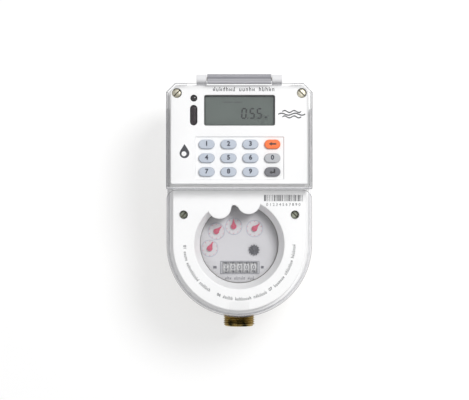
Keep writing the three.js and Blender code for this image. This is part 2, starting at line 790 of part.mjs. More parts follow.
function keypadMat() {
  const { x, y, width, depth } = KEYPAD;
  const flangeTop = UPPER_FACE - PLATE - GAP;
  const holes = keyPlaces().map((key) =>
    prism(obround(x + key.x, y + key.y, KEY.length + 2 * GAP, KEY.width + 2 * GAP), 100, 120, 4));
  return cut(
    union(
      prism(roundedRectangle(x, y, width + 4, depth + 1.6, 1), MAT.foot, flangeTop, 1),
      prism(roundedRectangle(x, y, width - 2 * GAP, depth - 2 * GAP, 0.8), flangeTop - 0.1, MAT.top, 1),
    ),
    ...holes,
  );
}

function keyPlaces() {
  const names = [
    ["key_1", "key_2", "key_3", "key_back"],
    ["key_4", "key_5", "key_6", "key_0"],
    ["key_7", "key_8", "key_9", "key_enter"],
  ];
  return names.flatMap((row, rowIndex) =>
    row.map((name, column) => ({
      name,
      x: (column - 1.5) * KEYPAD.pitchX,
      y: (1 - rowIndex) * KEYPAD.pitchY,
    })));
}

// A key cap with a plunger under it, its top at the origin.
function keyCap() {
  const rim = prism(obround(0, 0, KEY.length, KEY.width), -6.2, -0.5, 4);
  const crown = prism(obround(0, 0, KEY.length - 1.2, KEY.width - 1.2), -0.6, 0, 4);
  return union(rim, crown, disc(1.6, -8, -6, { sides: 8 }));
}

// ---------------------------------------------------------------- assembly
const meter = new THREE.Group();
meter.name = "prepaid_water_meter";

function buildHydraulics() {
  const group = addGroup(meter, "hydraulics");
  addPart(group, "brass_body", brassBody(), BRASS);
  addPart(group, "cap_ring", capRing(), BRASS);
  addPart(group, "inlet_strainer", inletStrainer(), { ...PLASTIC, color: 0x3c3f42 });
  addPart(group, "measuring_chamber", measuringChamber(), { ...PLASTIC, color: 0xd8dadb });
  addPart(group, "impeller", impeller(), { ...PLASTIC, color: 0xe9eaea });
  addPart(group, "pressure_plate", pressurePlate(), { ...PLASTIC, color: 0x8d9196 });
  const seal = ring(43, 39, BOWL_TOP + GAP, 61.3, { sides: 32 });
  addPart(group, "body_seal", seal, { ...PLASTIC, color: 0x222222 });
}

function buildValve() {
  const group = addGroup(meter, "outlet_valve");
  addPart(group, "valve_end_fitting", valveEndFitting(), BRASS);
  addPart(group, "valve_ball", valveBall(), { ...METAL, color: 0xc9ccd0 });
  addPart(group, "valve_stem", valveStem(), { ...METAL, color: 0xa9a37f });
  addPart(group, "seat_inner", valveSeat(VALVE_Y - SEAT.far, VALVE_Y - SEAT.near), SEAT_FINISH);
  addPart(group, "seat_outer", valveSeat(VALVE_Y + SEAT.near, VALVE_Y + SEAT.far), SEAT_FINISH);
  addPart(group, "actuator_case", actuatorCase(), { ...PLASTIC, color: 0x2e3238 });
  addPart(group, "valve_motor", valveMotor(), { ...METAL, color: 0xb4b7ba });
  addPart(group, "motor_pinion", motorPinion(), { ...METAL, color: 0xc2a561 });
}

function buildRegister() {
  const group = addGroup(meter, "register");
  addPart(group, "register_case", registerCase(), { ...METAL, color: 0x9a8f6d });
  addPart(group, "register_glass", registerGlass(), { ...CLEAR, color: 0xdde2e4 });
  addPart(group, "dial_plate", dialPlate(), { ...PLASTIC, color: 0xcfccd0 });
  addPart(group, "register_magnet", disc(8, 69, 73, { sides: 28 }), { ...PLASTIC, color: 0x3a3a3c });
  addPart(group, "counter_axle", counterAxle(), NICKEL);
  for (let index = 0; index < COUNTER.wheels; index += 1) {
    const wheel = addPart(group, `number_wheel_${index + 1}`, numberWheel(), { ...PLASTIC, color: 0xe4e4e2 });
    const offset = (index - (COUNTER.wheels - 1) / 2) * COUNTER.pitch;
    wheel.position.set(COUNTER.x + offset, COUNTER.y, COUNTER.z);
  }
  POINTERS.forEach(({ x, y, tip }, index) => {
    const hand = addPart(group, `pointer_${index + 1}`, pointer(), { ...PLASTIC, color: 0xd8325c });
    hand.position.set(x, y, DIAL_TOP);
    hand.rotation.z = THREE.MathUtils.degToRad(tip);
  });
  const star = addPart(group, "star_wheel", starWheel(), { ...PLASTIC, color: 0x1b1c33 });
  star.position.set(STAR.x, STAR.y, DIAL_TOP);
}

function buildHousing() {
  const group = addGroup(meter, "housing");
  addPart(group, "base_housing", baseHousing(), WHITE);
  addPart(group, "panel_gasket", panelGasket(), { ...PLASTIC, color: 0x2a2a2a });
  addPart(group, "top_panel", topPanel(), WHITE);
  addPart(group, "lower_clear_cover", lowerClearCover(), { ...CLEAR, color: 0xf3f5f6 });
  for (const { name, x, y, headTop, length, holeR } of SCREWS) {
    const fastener = addPart(group, name, screw(length, holeR - 1.2 * GAP), NICKEL);
    fastener.position.set(x, y, headTop);
    fastener.rotation.z = -Math.sign(x) * (Math.PI / 4);
  }
}

function buildLid() {
  const hinge = addGroup(meter, "lid_hinge");
  hinge.position.set(0, HINGE.y, HINGE.z);
  addPart(hinge, "flip_lid", flipLid(), { ...CLEAR, color: 0xf3f5f6 });
  addPart(hinge, "hinge_pin", rodAlongX(HINGE.pinR, -34, 34, 0, 0, 20), NICKEL);
}

function buildElectronics() {
  const group = addGroup(meter, "electronics");
  addPart(group, "main_board", mainBoard(), { ...PLASTIC, color: 0x1f6b45 });
  const glassTop = UPPER_FACE - PLATE - GAP;
  const lcdBody = prism(roundedRectangle(LCD.x, LCD.y, 62, 30, 1), BOARD_TOP + GAP, glassTop - 1.6, 1);
  addPart(group, "lcd_module", lcdBody, { ...PLASTIC, color: 0x717776 });
  const window = prism(roundedRectangle(LCD.x, LCD.y, 61, 28, 1), glassTop - 1.2, glassTop, 1);
  addPart(group, "lcd_window", window, { ...CLEAR, color: 0xe8ecec });
  const led = union(
    disc(LED.r - GAP, 105, 109.6, { x: LED.x, y: LED.y, sides: 16 }),
    disc(LED.r - GAP, 109.6, 110.8, { x: LED.x, y: LED.y, sides: 16, topRadius: 1.2 }),
  );
  addPart(group, "status_led", led, { ...PLASTIC, color: 0x2a2226 });
  const filter = prism(
    obround(INFRARED.x, INFRARED.y, INFRARED.width - 2 * GAP, INFRARED.length - 2 * GAP), 106, 111, 4);
  addPart(group, "ir_window", filter, { ...PLASTIC, color: 0x2b1c24 });
  addPart(group, "battery", rodAlongX(12.9, -25, 25, 106, 73, 28), { ...PLASTIC, color: 0x3d6a4c });
  const sensor = block(-11, 11, 38.2, 39.8, 72, 86);
  addPart(group, "pulse_sensor_board", sensor, { ...PLASTIC, color: 0x1f6b45 });
  buildKeypad(group);
}

function buildKeypad(parent) {
  const group = addGroup(parent, "keypad");
  addPart(group, "keypad_mat", keypadMat(), WHITE);
  const colours = { key_back: 0xff7328, key_enter: 0x6a6b70, key_0: 0xb4b8bc };
  for (const { name, x, y } of keyPlaces()) {
    const cap = addPart(group, name, keyCap(), { ...PLASTIC, color: colours[name] ?? 0xb9c2cc });
    cap.position.set(KEYPAD.x + x, KEYPAD.y + y, KEY.top);
  }
}

buildHydraulics();
buildValve();
buildRegister();
buildHousing();
buildLid();
buildElectronics();

export default meter;
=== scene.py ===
"""Looks of the prepaid water meter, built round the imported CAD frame.

Outlines are written in millimetres and become metres when their vertices are made. An outline is a
function of "grow": it returns the same points moved outwards by that much, so one outline serves for
a wall, its rounded rims and its hollow.
"""
import json
import math
import random

import bmesh
import bpy
from mathutils import Matrix, Vector
from mathutils.geometry import tessellate_polygon


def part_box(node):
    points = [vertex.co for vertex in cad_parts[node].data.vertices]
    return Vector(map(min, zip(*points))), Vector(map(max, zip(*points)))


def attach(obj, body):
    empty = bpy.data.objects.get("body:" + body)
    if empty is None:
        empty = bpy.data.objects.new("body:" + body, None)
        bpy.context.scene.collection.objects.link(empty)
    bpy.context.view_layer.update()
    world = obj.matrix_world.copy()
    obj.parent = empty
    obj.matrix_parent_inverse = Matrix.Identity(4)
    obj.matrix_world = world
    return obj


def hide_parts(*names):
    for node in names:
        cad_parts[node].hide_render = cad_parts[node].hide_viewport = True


MM = 0.001
DIGIT_SHARE = 0.73  # how tall a digit is, as a share of its font's size
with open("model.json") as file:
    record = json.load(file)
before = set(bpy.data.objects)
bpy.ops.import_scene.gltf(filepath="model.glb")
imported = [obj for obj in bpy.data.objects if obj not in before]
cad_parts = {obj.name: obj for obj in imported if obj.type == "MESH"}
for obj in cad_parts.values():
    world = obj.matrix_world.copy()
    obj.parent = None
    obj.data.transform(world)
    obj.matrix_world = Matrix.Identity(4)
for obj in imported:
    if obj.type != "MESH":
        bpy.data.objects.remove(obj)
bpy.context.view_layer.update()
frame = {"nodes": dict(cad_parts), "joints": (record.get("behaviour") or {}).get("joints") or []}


# ---------------------------------------------------------------- dimensions from the frame
def low(node):
    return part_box(node)[0] / MM


def high(node):
    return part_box(node)[1] / MM


def middle(node):
    return (low(node) + high(node)) / 2


def levels(node):
    """The heights of a node's foot and top."""
    return low(node).z, high(node).z


def axis_of(joint):
    """Where a hinge's axis lies, in millimetres."""
    for entry in frame["joints"]:
        if entry["name"] == joint:
            return Vector(entry["pos_m"]) / MM
    raise KeyError(joint)


# The white housing.
HALF = high("base_housing").x
REAR = high("base_housing").y
FOOT = low("base_housing").z
NECK_TOP = high("base_housing").z
LEDGE = NECK_TOP - 2
NECK_FOOT = 87.5
SEAM = 84.6
CORNER = 7.4
CAP_HOLE = 47.9
STEM_Y = 63
STEM_HOLE = 9
PANEL_FOOT = low("top_panel").z + 4.6
LOWER_FACE = PANEL_FOOT + 10.4
UPPER_FACE = LOWER_FACE + 8
WALL = 2.3
LOWER_HALF = 54.5
UPPER_HALF = 56.2
UPPER_FRONT = 49.3
UPPER_REAR = 130.1

# The dial's opening, with its two lobes and its notch as (x, y, radius).
DIAL_RIM = 37
DIAL_FOOT = 32.6
FUNNEL_FOOT = low("top_panel").z
LOBES = ((-16.3, 30.6, 9.8), (7.7, 34.2, 9.6))
NOTCH = (-4.2, 29.8, 2.3)
DIAL_TOP = high("dial_plate").z
COUNTER_Y = middle("counter_axle").y
COUNTER_X = middle("counter_axle").x
DIAL_PLATE = 32.4

# The clear cover, the lid and its hinge.
COVER_FOOT = low("lower_clear_cover").z
COVER_TOP = high("lower_clear_cover").z - 0.4
COVER_REAR = high("lower_clear_cover").y
COVER_WALL = 1.7
LID_HALF = high("flip_lid").x
LID_FRONT = low("flip_lid").y
LID_FOOT = low("flip_lid").z
LID_TOP = 120
LID_UNDER = 118
HINGE = axis_of("lid_hinge")
PIN_HOLE = 1.75
KNUCKLE_END = 34.8
KNUCKLE_WIDTH = 8.2

# What shows through the faces: x, y, then the size or the radius.
LCD = (0.2, 109.5, 57.8, 24.9)
KEYPAD = (0.2, 70.5, 72.3, 34.7)
INFRARED = (-37.2, 105.5, 6.0, 16.7)
LED = (-37.1, 119.4, 2.8)
LCD_FILM = 0.06  # how thick the display's segments are
KEY_WIDTH = 12.8
KEY_DEPTH = 7.3
KEY_GAP = 0.15
KEYS = [f"key_{digit}" for digit in range(10)] + ["key_back", "key_enter"]

# The screws: the radius of the hole for their shank, how far their seat lies below the top of the
# head, and the radius of each seat.
SCREW_HOLE = 1.9
SCREW_SEAT = 2.5
SCREWS = {
    "screw_rear_left": 4.0,
    "screw_rear_right": 4.0,
    "screw_front_left": 3.5,
    "screw_front_right": 3.5,
}

# The brass pipework, with its G3/4 thread.
PIPE_Z = 36
BORE = 7.5
THREAD = {"root": 12.06, "crest": 13.22, "pitch": 1.814, "bore": BORE}


# ---------------------------------------------------------------- outlines
def polar(radius, degrees, x=0, y=0):
    """The point at that distance and direction from x, y."""
    angle = math.radians(degrees)
    return x + radius * math.cos(angle), y + radius * math.sin(angle)


def arc(x, y, radius, start, end, count):
    """Points from one angle to another, in degrees, both ends included."""
    return [polar(radius, start + (end - start) * step / (count - 1), x, y) for step in range(count)]


def rounded(points, radius, steps=3, closed=False):
    """The same path with an arc at each corner that turns by more than a few degrees."""
    path = []
    count = len(points)
    for index, point in enumerate(points):
        here = Vector(point)
        back = Vector(points[index - 1]) - here
        ahead = Vector(points[(index + 1) % count]) - here
        at_end = not closed and index in (0, count - 1)
        turn = 0 if at_end else math.pi - back.angle(ahead)
        if turn < math.radians(6):
            path.append(tuple(here))
            continue
        reach = min(radius * math.tan(turn / 2), 0.45 * back.length, 0.45 * ahead.length)
        bend = reach / math.tan(turn / 2)
        inward = (back.normalized() + ahead.normalized()).normalized()
        centre = here + inward * (bend / math.cos(turn / 2))
        first = here + back.normalized() * reach - centre
        last = here + ahead.normalized() * reach - centre
        for step in range(steps + 1):
            share = step / steps
            mixed = first * math.sin((1 - share) * turn) + last * math.sin(share * turn)
            path.append(tuple(centre + mixed / math.sin(turn)))
    return path


def moved_out(points, grow):
    """An anticlockwise outline with every side moved outwards by "grow"."""
    path = []
    count = len(points)
    for index in range(count):
        here = Vector(points[index])
        before = (here - Vector(points[index - 1])).normalized()
        after = (Vector(points[(index + 1) % count]) - here).normalized()
        outward = Vector((before.y + after.y, -before.x - after.x)) / 2
        scale = grow / max(outward.length_squared, 0.2)
        path.append(tuple(here + outward * scale))
    return path


def circle(x, y, radius, count=64):
    return lambda grow=0: arc(x, y, radius + grow, 0, 360, count + 1)[:-1]


def polygon(points, radius, steps=3):
    """A convex outline with rounded corners."""
    def outline(grow=0):
        return rounded(moved_out(points, grow), max(radius + grow, 0.3), steps, closed=True)
    return outline


def free_form(points):
    return lambda grow=0: moved_out(points, grow)


def rectangle(x, y, width, depth, radius, steps=4):
    w, d = width / 2, depth / 2
    return polygon([(x - w, y - d), (x + w, y - d), (x + w, y + d), (x - w, y + d)], radius, steps)


def obround(x, y, width, depth, count=20):
    """A slot with half-round ends, along X or along Y, whichever is longer."""
    def outline(grow=0):
        radius = min(width, depth) / 2 + grow
        dx = max(width - depth, 0) / 2
        dy = max(depth - width, 0) / 2
        start = -90 if width > depth else 0
        near = arc(x + dx, y + dy, radius, start, start + 180, count)
        return near + arc(x - dx, y - dy, radius, start + 180, start + 360, count)
    return outline


def shield(half, rear, chamfer, radius):
    """The housing seen from above: round at the dial end, cut corners at the hinge end."""
    def outline(grow=0):
        h, r = half + grow, rear + grow
        c = chamfer + grow * (2 - math.sqrt(2))
        tail = [(h, 0), (h, r - c), (h - c, r), (c - h, r), (c - h - c, r - c), (-h, 0)]
        return arc(0, 0, h, 180, 360, 97)[:-1] + rounded(tail, max(radius + grow, 0.3))[:-1]
    return outline


def arch(half, rear, radius=1.0):
    def outline(grow=0):
        h, r = half + grow, rear + grow
        tail = [(h, 0), (h, r), (-h, r), (-h, 0)]
        return arc(0, 0, h, 180, 360, 97)[:-1] + rounded(tail, max(radius + grow, 0.3))[:-1]
    return outline


def cut_corners(half, front, rear, chamfer, radius):
    points = [(half, front), (half, rear - chamfer), (half - chamfer, rear)]
    return polygon(points + [(-x, y) for x, y in reversed(points)], radius)


def crossing(centre, radius, rim_radius, side):
    """The angle at which a lobe's circle meets the dial opening's circle, seen from the lobe."""
    x, y = centre
    distance = math.hypot(x, y)
    outwards = math.degrees(math.atan2(y, x))
    cosine = (rim_radius**2 - distance**2 - radius**2) / (2 * distance * radius)
    lobe_angle = outwards + side * math.degrees(math.acos(max(-1, min(1, cosine))))
    meet_x, meet_y = polar(radius, lobe_angle, x, y)
    return lobe_angle, math.degrees(math.atan2(meet_y, meet_x))


def dial_opening(rim_radius, grow):
    """The round opening with two lobes that reach into it and a rounded notch between them."""
    (lx, ly, lr), (rx, ry, rr) = LOBES
    nx, ny, nr = NOTCH
    rim_radius, lr, rr, nr = rim_radius + grow, lr - grow, rr - grow, nr + grow
    left_end, left_rim = crossing((lx, ly), lr, rim_radius, 1)
    right_end, right_rim = crossing((rx, ry), rr, rim_radius, -1)
    to_right = math.degrees(math.atan2(ry - ny, rx - nx))
    to_left = math.degrees(math.atan2(ly - ny, lx - nx))
    points = arc(0, 0, rim_radius, left_rim, right_rim + 360, 128)
    points += arc(rx, ry, rr, right_end, to_right - 180, 28)[1:]
    points += arc(nx, ny, nr, to_right, to_left, 12)
    points += arc(lx, ly, lr, to_left - 180, left_end - 360, 28)[:-1]
    return points


# ---------------------------------------------------------------- mesh building
def rim(radius, z, side=-1, up=1):
    """(grow, z) steps of a rounded rim, from a flat face at height z round to the wall.

    side is -1 for the outside of a body and 1 for a hole. up is 1 for a face that looks up.
    """
    steps = []
    for degrees in (0, 30, 60, 90):
        angle = math.radians(degrees)
        inset = radius * (1 - math.sin(angle))
        steps.append((side * inset, z - up * radius * (1 - math.cos(angle))))
    return steps


class Shell:
    """Closed bodies put together from rings of points."""

    def __init__(self):
        self.mesh = bmesh.new()
        self.place = Matrix()
        self.finish = 0

    def at(self, x, y, z=0, turn=0):
        """What follows is built round x, y, z, turned by that many degrees about Z."""
        self.place = Matrix.Translation((x, y, z)) @ Matrix.Rotation(math.radians(turn), 4, "Z")

    def ring(self, points, z):
        return [self.mesh.verts.new((self.place @ Vector((x, y, z))) * MM) for x, y in points]

    def face(self, corners):
        made = self.mesh.faces.new(corners)
        made.material_index = self.finish

    def bridge(self, first, second, closed=True):
        count = len(first)
        for index in range(count if closed else count - 1):
            after = (index + 1) % count
            self.face((first[index], first[after], second[after], second[index]))

    def fill(self, *rings):
        """A flat face inside the first ring, with the other rings as holes."""
        flat = [vertex for ring in rings for vertex in ring]
        for corners in tessellate_polygon([[vertex.co / MM for vertex in ring] for ring in rings]):
            self.face([flat[corner] for corner in corners])

    def loft(self, outline, steps):
        rings = [self.ring(outline(grow), z) for grow, z in steps]
        for first, second in zip(rings, rings[1:]):
            self.bridge(first, second)
        return rings

    def solid(self, outline, steps):
        """A lofted body with a flat face at each end."""
        rings = self.loft(outline, steps)
        self.fill(rings[0])
        self.fill(rings[-1])

    def slab(self, outline, bottom, top, holes=(), edge=0.5, foot_edge=0.2, hole_edge=0.25, rims=None):
        """A plate with rounded rims and holes right through it. "rims" is the finish of its rims."""
        face_finish = self.finish
        self.finish = face_finish if rims is None else rims
        upper = self.loft(outline, rim(edge, top))
        lower = self.loft(outline, rim(foot_edge, bottom, up=-1)[::-1])
        self.finish = face_finish
        self.bridge(upper[-1], lower[0])
        inner = [self.loft(hole, rim(hole_edge, top, side=1) + [(0, bottom)]) for hole in holes]
        self.fill(upper[0], *[rings[0] for rings in inner])
        self.fill(lower[-1], *[rings[-1] for rings in inner])

    def stamp(self, outline, z, holes=(), thick=0.05, edge=0.01):
        """Print or film on a face at height z."""
        self.slab(outline, z, z + thick, holes, edge, 0.0, 0.01)

    def lathe(self, profile, sides=96, loop=False):
        """A profile of (radius, z) points turned about the Z axis of the current place."""
        rings = []
        for radius, z in profile:
            points = [(0, 0)] if radius == 0 else circle(0, 0, radius, sides)()
            rings.append(self.ring(points, z))
        pairs = list(zip(rings, rings[1:]))
        if loop:
            pairs.append((rings[-1], rings[0]))
        for first, second in pairs:
            if len(first) == 1 or len(second) == 1:
                tip, base = (first[0], second) if len(first) == 1 else (second[0], first)
                for index in range(len(base)):
                    self.face((tip, base[index], base[(index + 1) % len(base)]))
            else:
                self.bridge(first, second)

    def rod(self, radius, foot, top, sides, edge=0):
        profile = [(0, foot), (radius, foot), (radius, top), (0, top)]
        self.lathe(rounded(profile, edge) if edge else profile, sides)

    def tube(self, inner, outer, foot, top, sides=96, edge=0):
        profile = [(inner, foot), (outer, foot), (outer, top), (inner, top)]
        self.lathe(rounded(profile, edge, closed=True) if edge else profile, sides, loop=True)

    def thread(self, length, root, crest, pitch, bore, sides=96, samples=8):
        """A threaded tube: the ridge winds round it and fades out at both ends."""
        rings = []
        count = int(length / pitch * samples)
        for step in range(count + 1):
            z = length * step / count
            fade = max(0, min(1, z / (0.8 * pitch), (length - z) / (0.8 * pitch)))
            points = []
            for side in range(sides):
                share = side / sides
                wave = abs(((z / pitch - share) % 1) * 2 - 1)
                radius = root - 0.5 * (1 - fade) + (crest - root) * fade * min(1, 1.25 * wave)
                angle = 2 * math.pi * share
                points.append((radius * math.cos(angle), radius * math.sin(angle)))
            rings.append(self.ring(points, z))
        for radius, z in ((bore + 0.5, length), (bore, length - 0.5), (bore, 0.5), (bore + 0.5, 0)):
            rings.append(self.ring(circle(0, 0, radius, sides)(), z))
        for first, second in zip(rings, rings[1:] + rings[:1]):
            self.bridge(first, second)

    def write(self, text, height, x, y, z, angle=0, bold=0.0, wrap=None):
        """Plain digits as a thin raised print. wrap bends them round a wheel of that radius."""
        curve = bpy.data.curves.new("digits", "FONT")
        curve.body = text
        curve.size = height / DIGIT_SHARE
        curve.align_x = "CENTER"
        curve.align_y = "CENTER"
        curve.resolution_u = 3
        curve.extrude = 0.04
        curve.offset = bold
        holder = bpy.data.objects.new("digits", curve)
        glyphs = bmesh.new()
        glyphs.from_mesh(holder.to_mesh())
        bmesh.ops.remove_doubles(glyphs, verts=glyphs.verts, dist=1e-4)
        spot = Matrix.Translation((x, y, z)) @ Matrix.Rotation(math.radians(angle), 4, "Z")
        if wrap:
            for cut in range(-6, 7):
                bmesh.ops.bisect_plane(
                    glyphs,
                    geom=glyphs.verts[:] + glyphs.edges[:] + glyphs.faces[:],
                    plane_co=(0, 0.35 * cut, 0),
                    plane_no=(0, 1, 0),
                )
            for vertex in glyphs.verts:
                bend = vertex.co.y / wrap
                reach = wrap + vertex.co.z
                vertex.co = Vector((vertex.co.x, reach * math.sin(bend), reach * math.cos(bend)))
            spot = Matrix.Translation((x, 0, 0)) @ Matrix.Rotation(math.radians(-angle), 4, "X")
        for vertex in glyphs.verts:
            vertex.co = (self.place @ spot @ vertex.co) * MM
        loose = bpy.data.meshes.new("digits")
        glyphs.to_mesh(loose)
        glyphs.free()
        before = len(self.mesh.faces)
        self.mesh.from_mesh(loose)
        self.mesh.faces.ensure_lookup_table()
        for face in self.mesh.faces[before:]:
            face.material_index = self.finish
        bpy.data.objects.remove(holder)
        bpy.data.curves.remove(curve)
        bpy.data.meshes.remove(loose)

    def to_object(self, name, materials, sharp=35):
        bmesh.ops.remove_doubles(self.mesh, verts=self.mesh.verts, dist=1e-6)
        bmesh.ops.recalc_face_normals(self.mesh, faces=self.mesh.faces)
        mesh = bpy.data.meshes.new(name)
        self.mesh.to_mesh(mesh)
        self.mesh.free()
        for material in materials:
            mesh.materials.append(material)
        mesh.shade_smooth()
        mesh.set_sharp_from_angle(angle=math.radians(sharp))
        made = bpy.data.objects.new(name, mesh)
        bpy.context.scene.collection.objects.link(made)
        return made


def along_x(start, y, z, way=1):
    """The place of a body built up the Z axis that is to run along X from "start"."""
    return Matrix(((0, 0, way, start), (1, 0, 0, y), (0, 1, 0, z), (0, 0, 0, 1)))


def along_y(start):
    """The place of a body built up the Z axis that is to run along the pipe from "start"."""
    return Matrix(((1, 0, 0, 0), (0, 0, 1, start), (0, 1, 0, PIPE_Z), (0, 0, 0, 1)))


def combined(target, tools, operation):
    """The target with other bodies added to it or cut out of it."""
    for tool in tools:
        step = target.modifiers.new(operation, "BOOLEAN")
        step.operation = operation
        step.solver = "EXACT"
        step.object = tool
    bpy.context.view_layer.update()
    graph = bpy.context.evaluated_depsgraph_get()
    baked = bpy.data.meshes.new_from_object(target.evaluated_get(graph))
    target.modifiers.clear()
    target.data = baked
    for tool in tools:
        bpy.data.objects.remove(tool)
    # The joints leave slivers behind, which are dissolved here.
    tidied = bmesh.new()
    tidied.from_mesh(baked)
    bmesh.ops.remove_doubles(tidied, verts=tidied.verts, dist=1e-5)
    bmesh.ops.dissolve_degenerate(tidied, edges=tidied.edges, dist=1e-5)
    open_edges = [edge for edge in tidied.edges if edge.is_boundary]
    bmesh.ops.holes_fill(tidied, edges=open_edges, sides=0)
    tidied.to_mesh(baked)
    tidied.free()
    baked.shade_smooth()
    baked.set_sharp_from_angle(angle=math.radians(35))
    return target


def place_piece(made, replaces=(), body="meter_body"):
    weighted = made.modifiers.new("normals", "WEIGHTED_NORMAL")
    weighted.keep_sharp = True
    if replaces:
        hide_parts(*replaces)
    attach(made, body)
    return made


def piece(shell, name, materials, replaces=(), body="meter_body"):
    """One named piece of the visual model, in place of the CAD nodes that it replaces."""
    if not isinstance(materials, (list, tuple)):
        materials = [materials]
    return place_piece(shell.to_object(name, materials), replaces, body)


# ---------------------------------------------------------------- materials
def linear(colour, factor=1.0):
    """An sRGB colour of 0 to 255 as linear light, made brighter or darker by the factor."""
    values = []
    for level in colour:
        share = level / 255
        light = share / 12.92 if share <= 0.04045 else ((share + 0.055) / 1.055) ** 2.4
        values.append(min(1.0, light * factor))
    return (*values, 1.0)


class Finish:
    """A node material whose colour, roughness and surface all vary a little over the object."""

    def __init__(self, name):
        self.material = bpy.data.materials.new(name)
        self.material.use_nodes = True
        self.nodes = self.material.node_tree.nodes
        self.links = self.material.node_tree.links
        self.shader = self.nodes["Principled BSDF"]
        self.place = self.nodes.new("ShaderNodeTexCoord").outputs["Object"]

    def noise(self, scale, detail=3.0):
        texture = self.nodes.new("ShaderNodeTexNoise")
        texture.inputs["Scale"].default_value = scale
        texture.inputs["Detail"].default_value = detail
        self.links.new(self.place, texture.inputs["Vector"])
        return texture.outputs["Fac"]

    def colours(self, stops, scale, detail=3.0):
        """Patches that run through the (position, colour) stops."""
        ramp = self.nodes.new("ShaderNodeValToRGB")
        elements = ramp.color_ramp.elements
        for element, (position, colour) in zip(elements, (stops[0], stops[-1])):
            element.position = position
            element.color = colour
        for position, colour in stops[1:-1]:
            elements.new(position).color = colour
        self.links.new(self.noise(scale, detail), ramp.inputs["Fac"])
        self.links.new(ramp.outputs["Color"], self.shader.inputs["Base Color"])

    def spread(self, socket, least, most, source):
        """A socket that runs from least to most as the source runs over its middle range."""
        span = self.nodes.new("ShaderNodeMapRange")
        span.inputs["From Min"].default_value = 0.3
        span.inputs["From Max"].default_value = 0.7
        span.inputs["To Min"].default_value = least
        span.inputs["To Max"].default_value = most
        self.links.new(source, span.inputs["Value"])
        self.links.new(span.outputs["Result"], self.shader.inputs[socket])

    def bump(self, strength, distance, scale):
        node = self.nodes.new("ShaderNodeBump")
        node.inputs["Strength"].default_value = strength
        node.inputs["Distance"].default_value = distance * MM
        self.links.new(self.noise(scale, 4.0), node.inputs["Height"])
        self.links.new(node.outputs["Normal"], self.shader.inputs["Normal"])


def plastic(name, colour, roughness=0.42, tone=0.025, grain=1400, bump=0.12, patch=35, sheen=0.5):
    finish = Finish(name)
    finish.colours([(0.3, linear(colour, 1 - tone)), (0.7, linear(colour, 1 + tone))], patch)
    finish.spread("Roughness", roughness - 0.07, roughness + 0.07, finish.noise(patch * 5))
    finish.bump(bump, 0.05, grain)
    finish.shader.inputs["Specular IOR Level"].default_value = sheen
    return finish.material


def metal(name, dark, light, roughness, patch, grain, bump):
    finish = Finish(name)
    finish.colours([(0.32, linear(dark)), (0.5, linear(light)), (0.72, linear(light, 1.12))], patch, 5.0)
    finish.spread("Roughness", roughness - 0.1, roughness + 0.14, finish.noise(patch * 2.5))
    finish.bump(bump, 0.06, grain)
    finish.shader.inputs["Metallic"].default_value = 1.0
    return finish.material


def clear(name, tint, face, edge, roughness=0.06):
    """Clear plastic: nearly invisible face on, and denser where it is seen at a slant."""
    finish = Finish(name)
    finish.colours([(0.35, linear(tint, 0.97)), (0.65, linear(tint))], 25)
    finish.spread("Roughness", roughness * 0.6, roughness * 1.8, finish.noise(120))
    finish.bump(0.04, 0.05, 60)
    slant = finish.nodes.new("ShaderNodeLayerWeight")
    slant.inputs["Blend"].default_value = 0.35
    finish.spread("Alpha", face, edge, slant.outputs["Facing"])
    finish.shader.inputs["Specular IOR Level"].default_value = 0.8
    finish.shader.inputs["IOR"].default_value = 1.49
    return finish.material


WHITE = plastic("white_shell", (250, 250, 250), 0.38, 0.012)
WHITE_BASE = plastic("white_base", (243, 243, 244), 0.42, 0.02)
# A greyer white on the hinge knuckles: painted shade that sets them off from the white floor.
KNUCKLE_PAINTED_SHADE = plastic("knuckle_painted_shade", (224, 224, 226), 0.4, 0.02)
MAT_WHITE = plastic("mat_white", (250, 250, 250), 0.5, 0.015)
CLEAR = clear("clear_sheet", (236, 237, 240), 0.02, 0.5)
CLEAR_WALL = clear("clear_wall", (214, 214, 222), 0.04, 0.3, 0.12)
# Dark grey on the lid's side walls: painted shade for the dark bands that the clear walls show from above.
SIDE_PAINTED_SHADE = clear("side_painted_shade", (112, 112, 118), 0.16, 0.75, 0.12)
# Near-white, half-opaque tint on the lid's front lip: painted light that brightens the band along the lip.
LIP_PAINTED_LIGHT = clear("lip_painted_light", (252, 252, 254), 0.4, 0.45, 0.12)
# Dark grey on the rounded rims of the clear parts: painted shade that draws the dark edge lines of the clear
# plastic.
RIM_PAINTED_SHADE = clear("rim_painted_shade", (92, 92, 102), 0.42, 0.85, 0.1)
# The clear hinge barrel has two tints: a lighter front half and a darker rear half, painted highlight and
# painted shade for the reflections in the barrel.
CLEAR_BARREL = clear("clear_barrel", (204, 204, 210), 0.62, 0.92, 0.12)
BARREL_PAINTED_SHADE = clear("barrel_rear", (152, 152, 160), 0.62, 0.92, 0.12)
GLASS = clear("foggy_glass", (222, 222, 228), 0.07, 0.4, 0.35)
WINDOW = clear("display_window", (90, 96, 96), 0.05, 0.4, 0.05)
BRASS = metal("brass", (138, 114, 64), (172, 146, 88), 0.34, 45, 700, 0.35)
BRASS_DARK = metal("brass_dark", (52, 46, 24), (160, 138, 82), 0.3, 110, 700, 0.3)
NICKEL = metal("nickel", (168, 164, 146), (214, 209, 190), 0.42, 90, 1500, 0.15)
# Darker nickel on the front screws, which sit deep in their holes: painted shade.
NICKEL_PAINTED_SHADE = metal("nickel_painted_shade", (104, 108, 96), (158, 162, 148), 0.42, 90, 1500, 0.15)
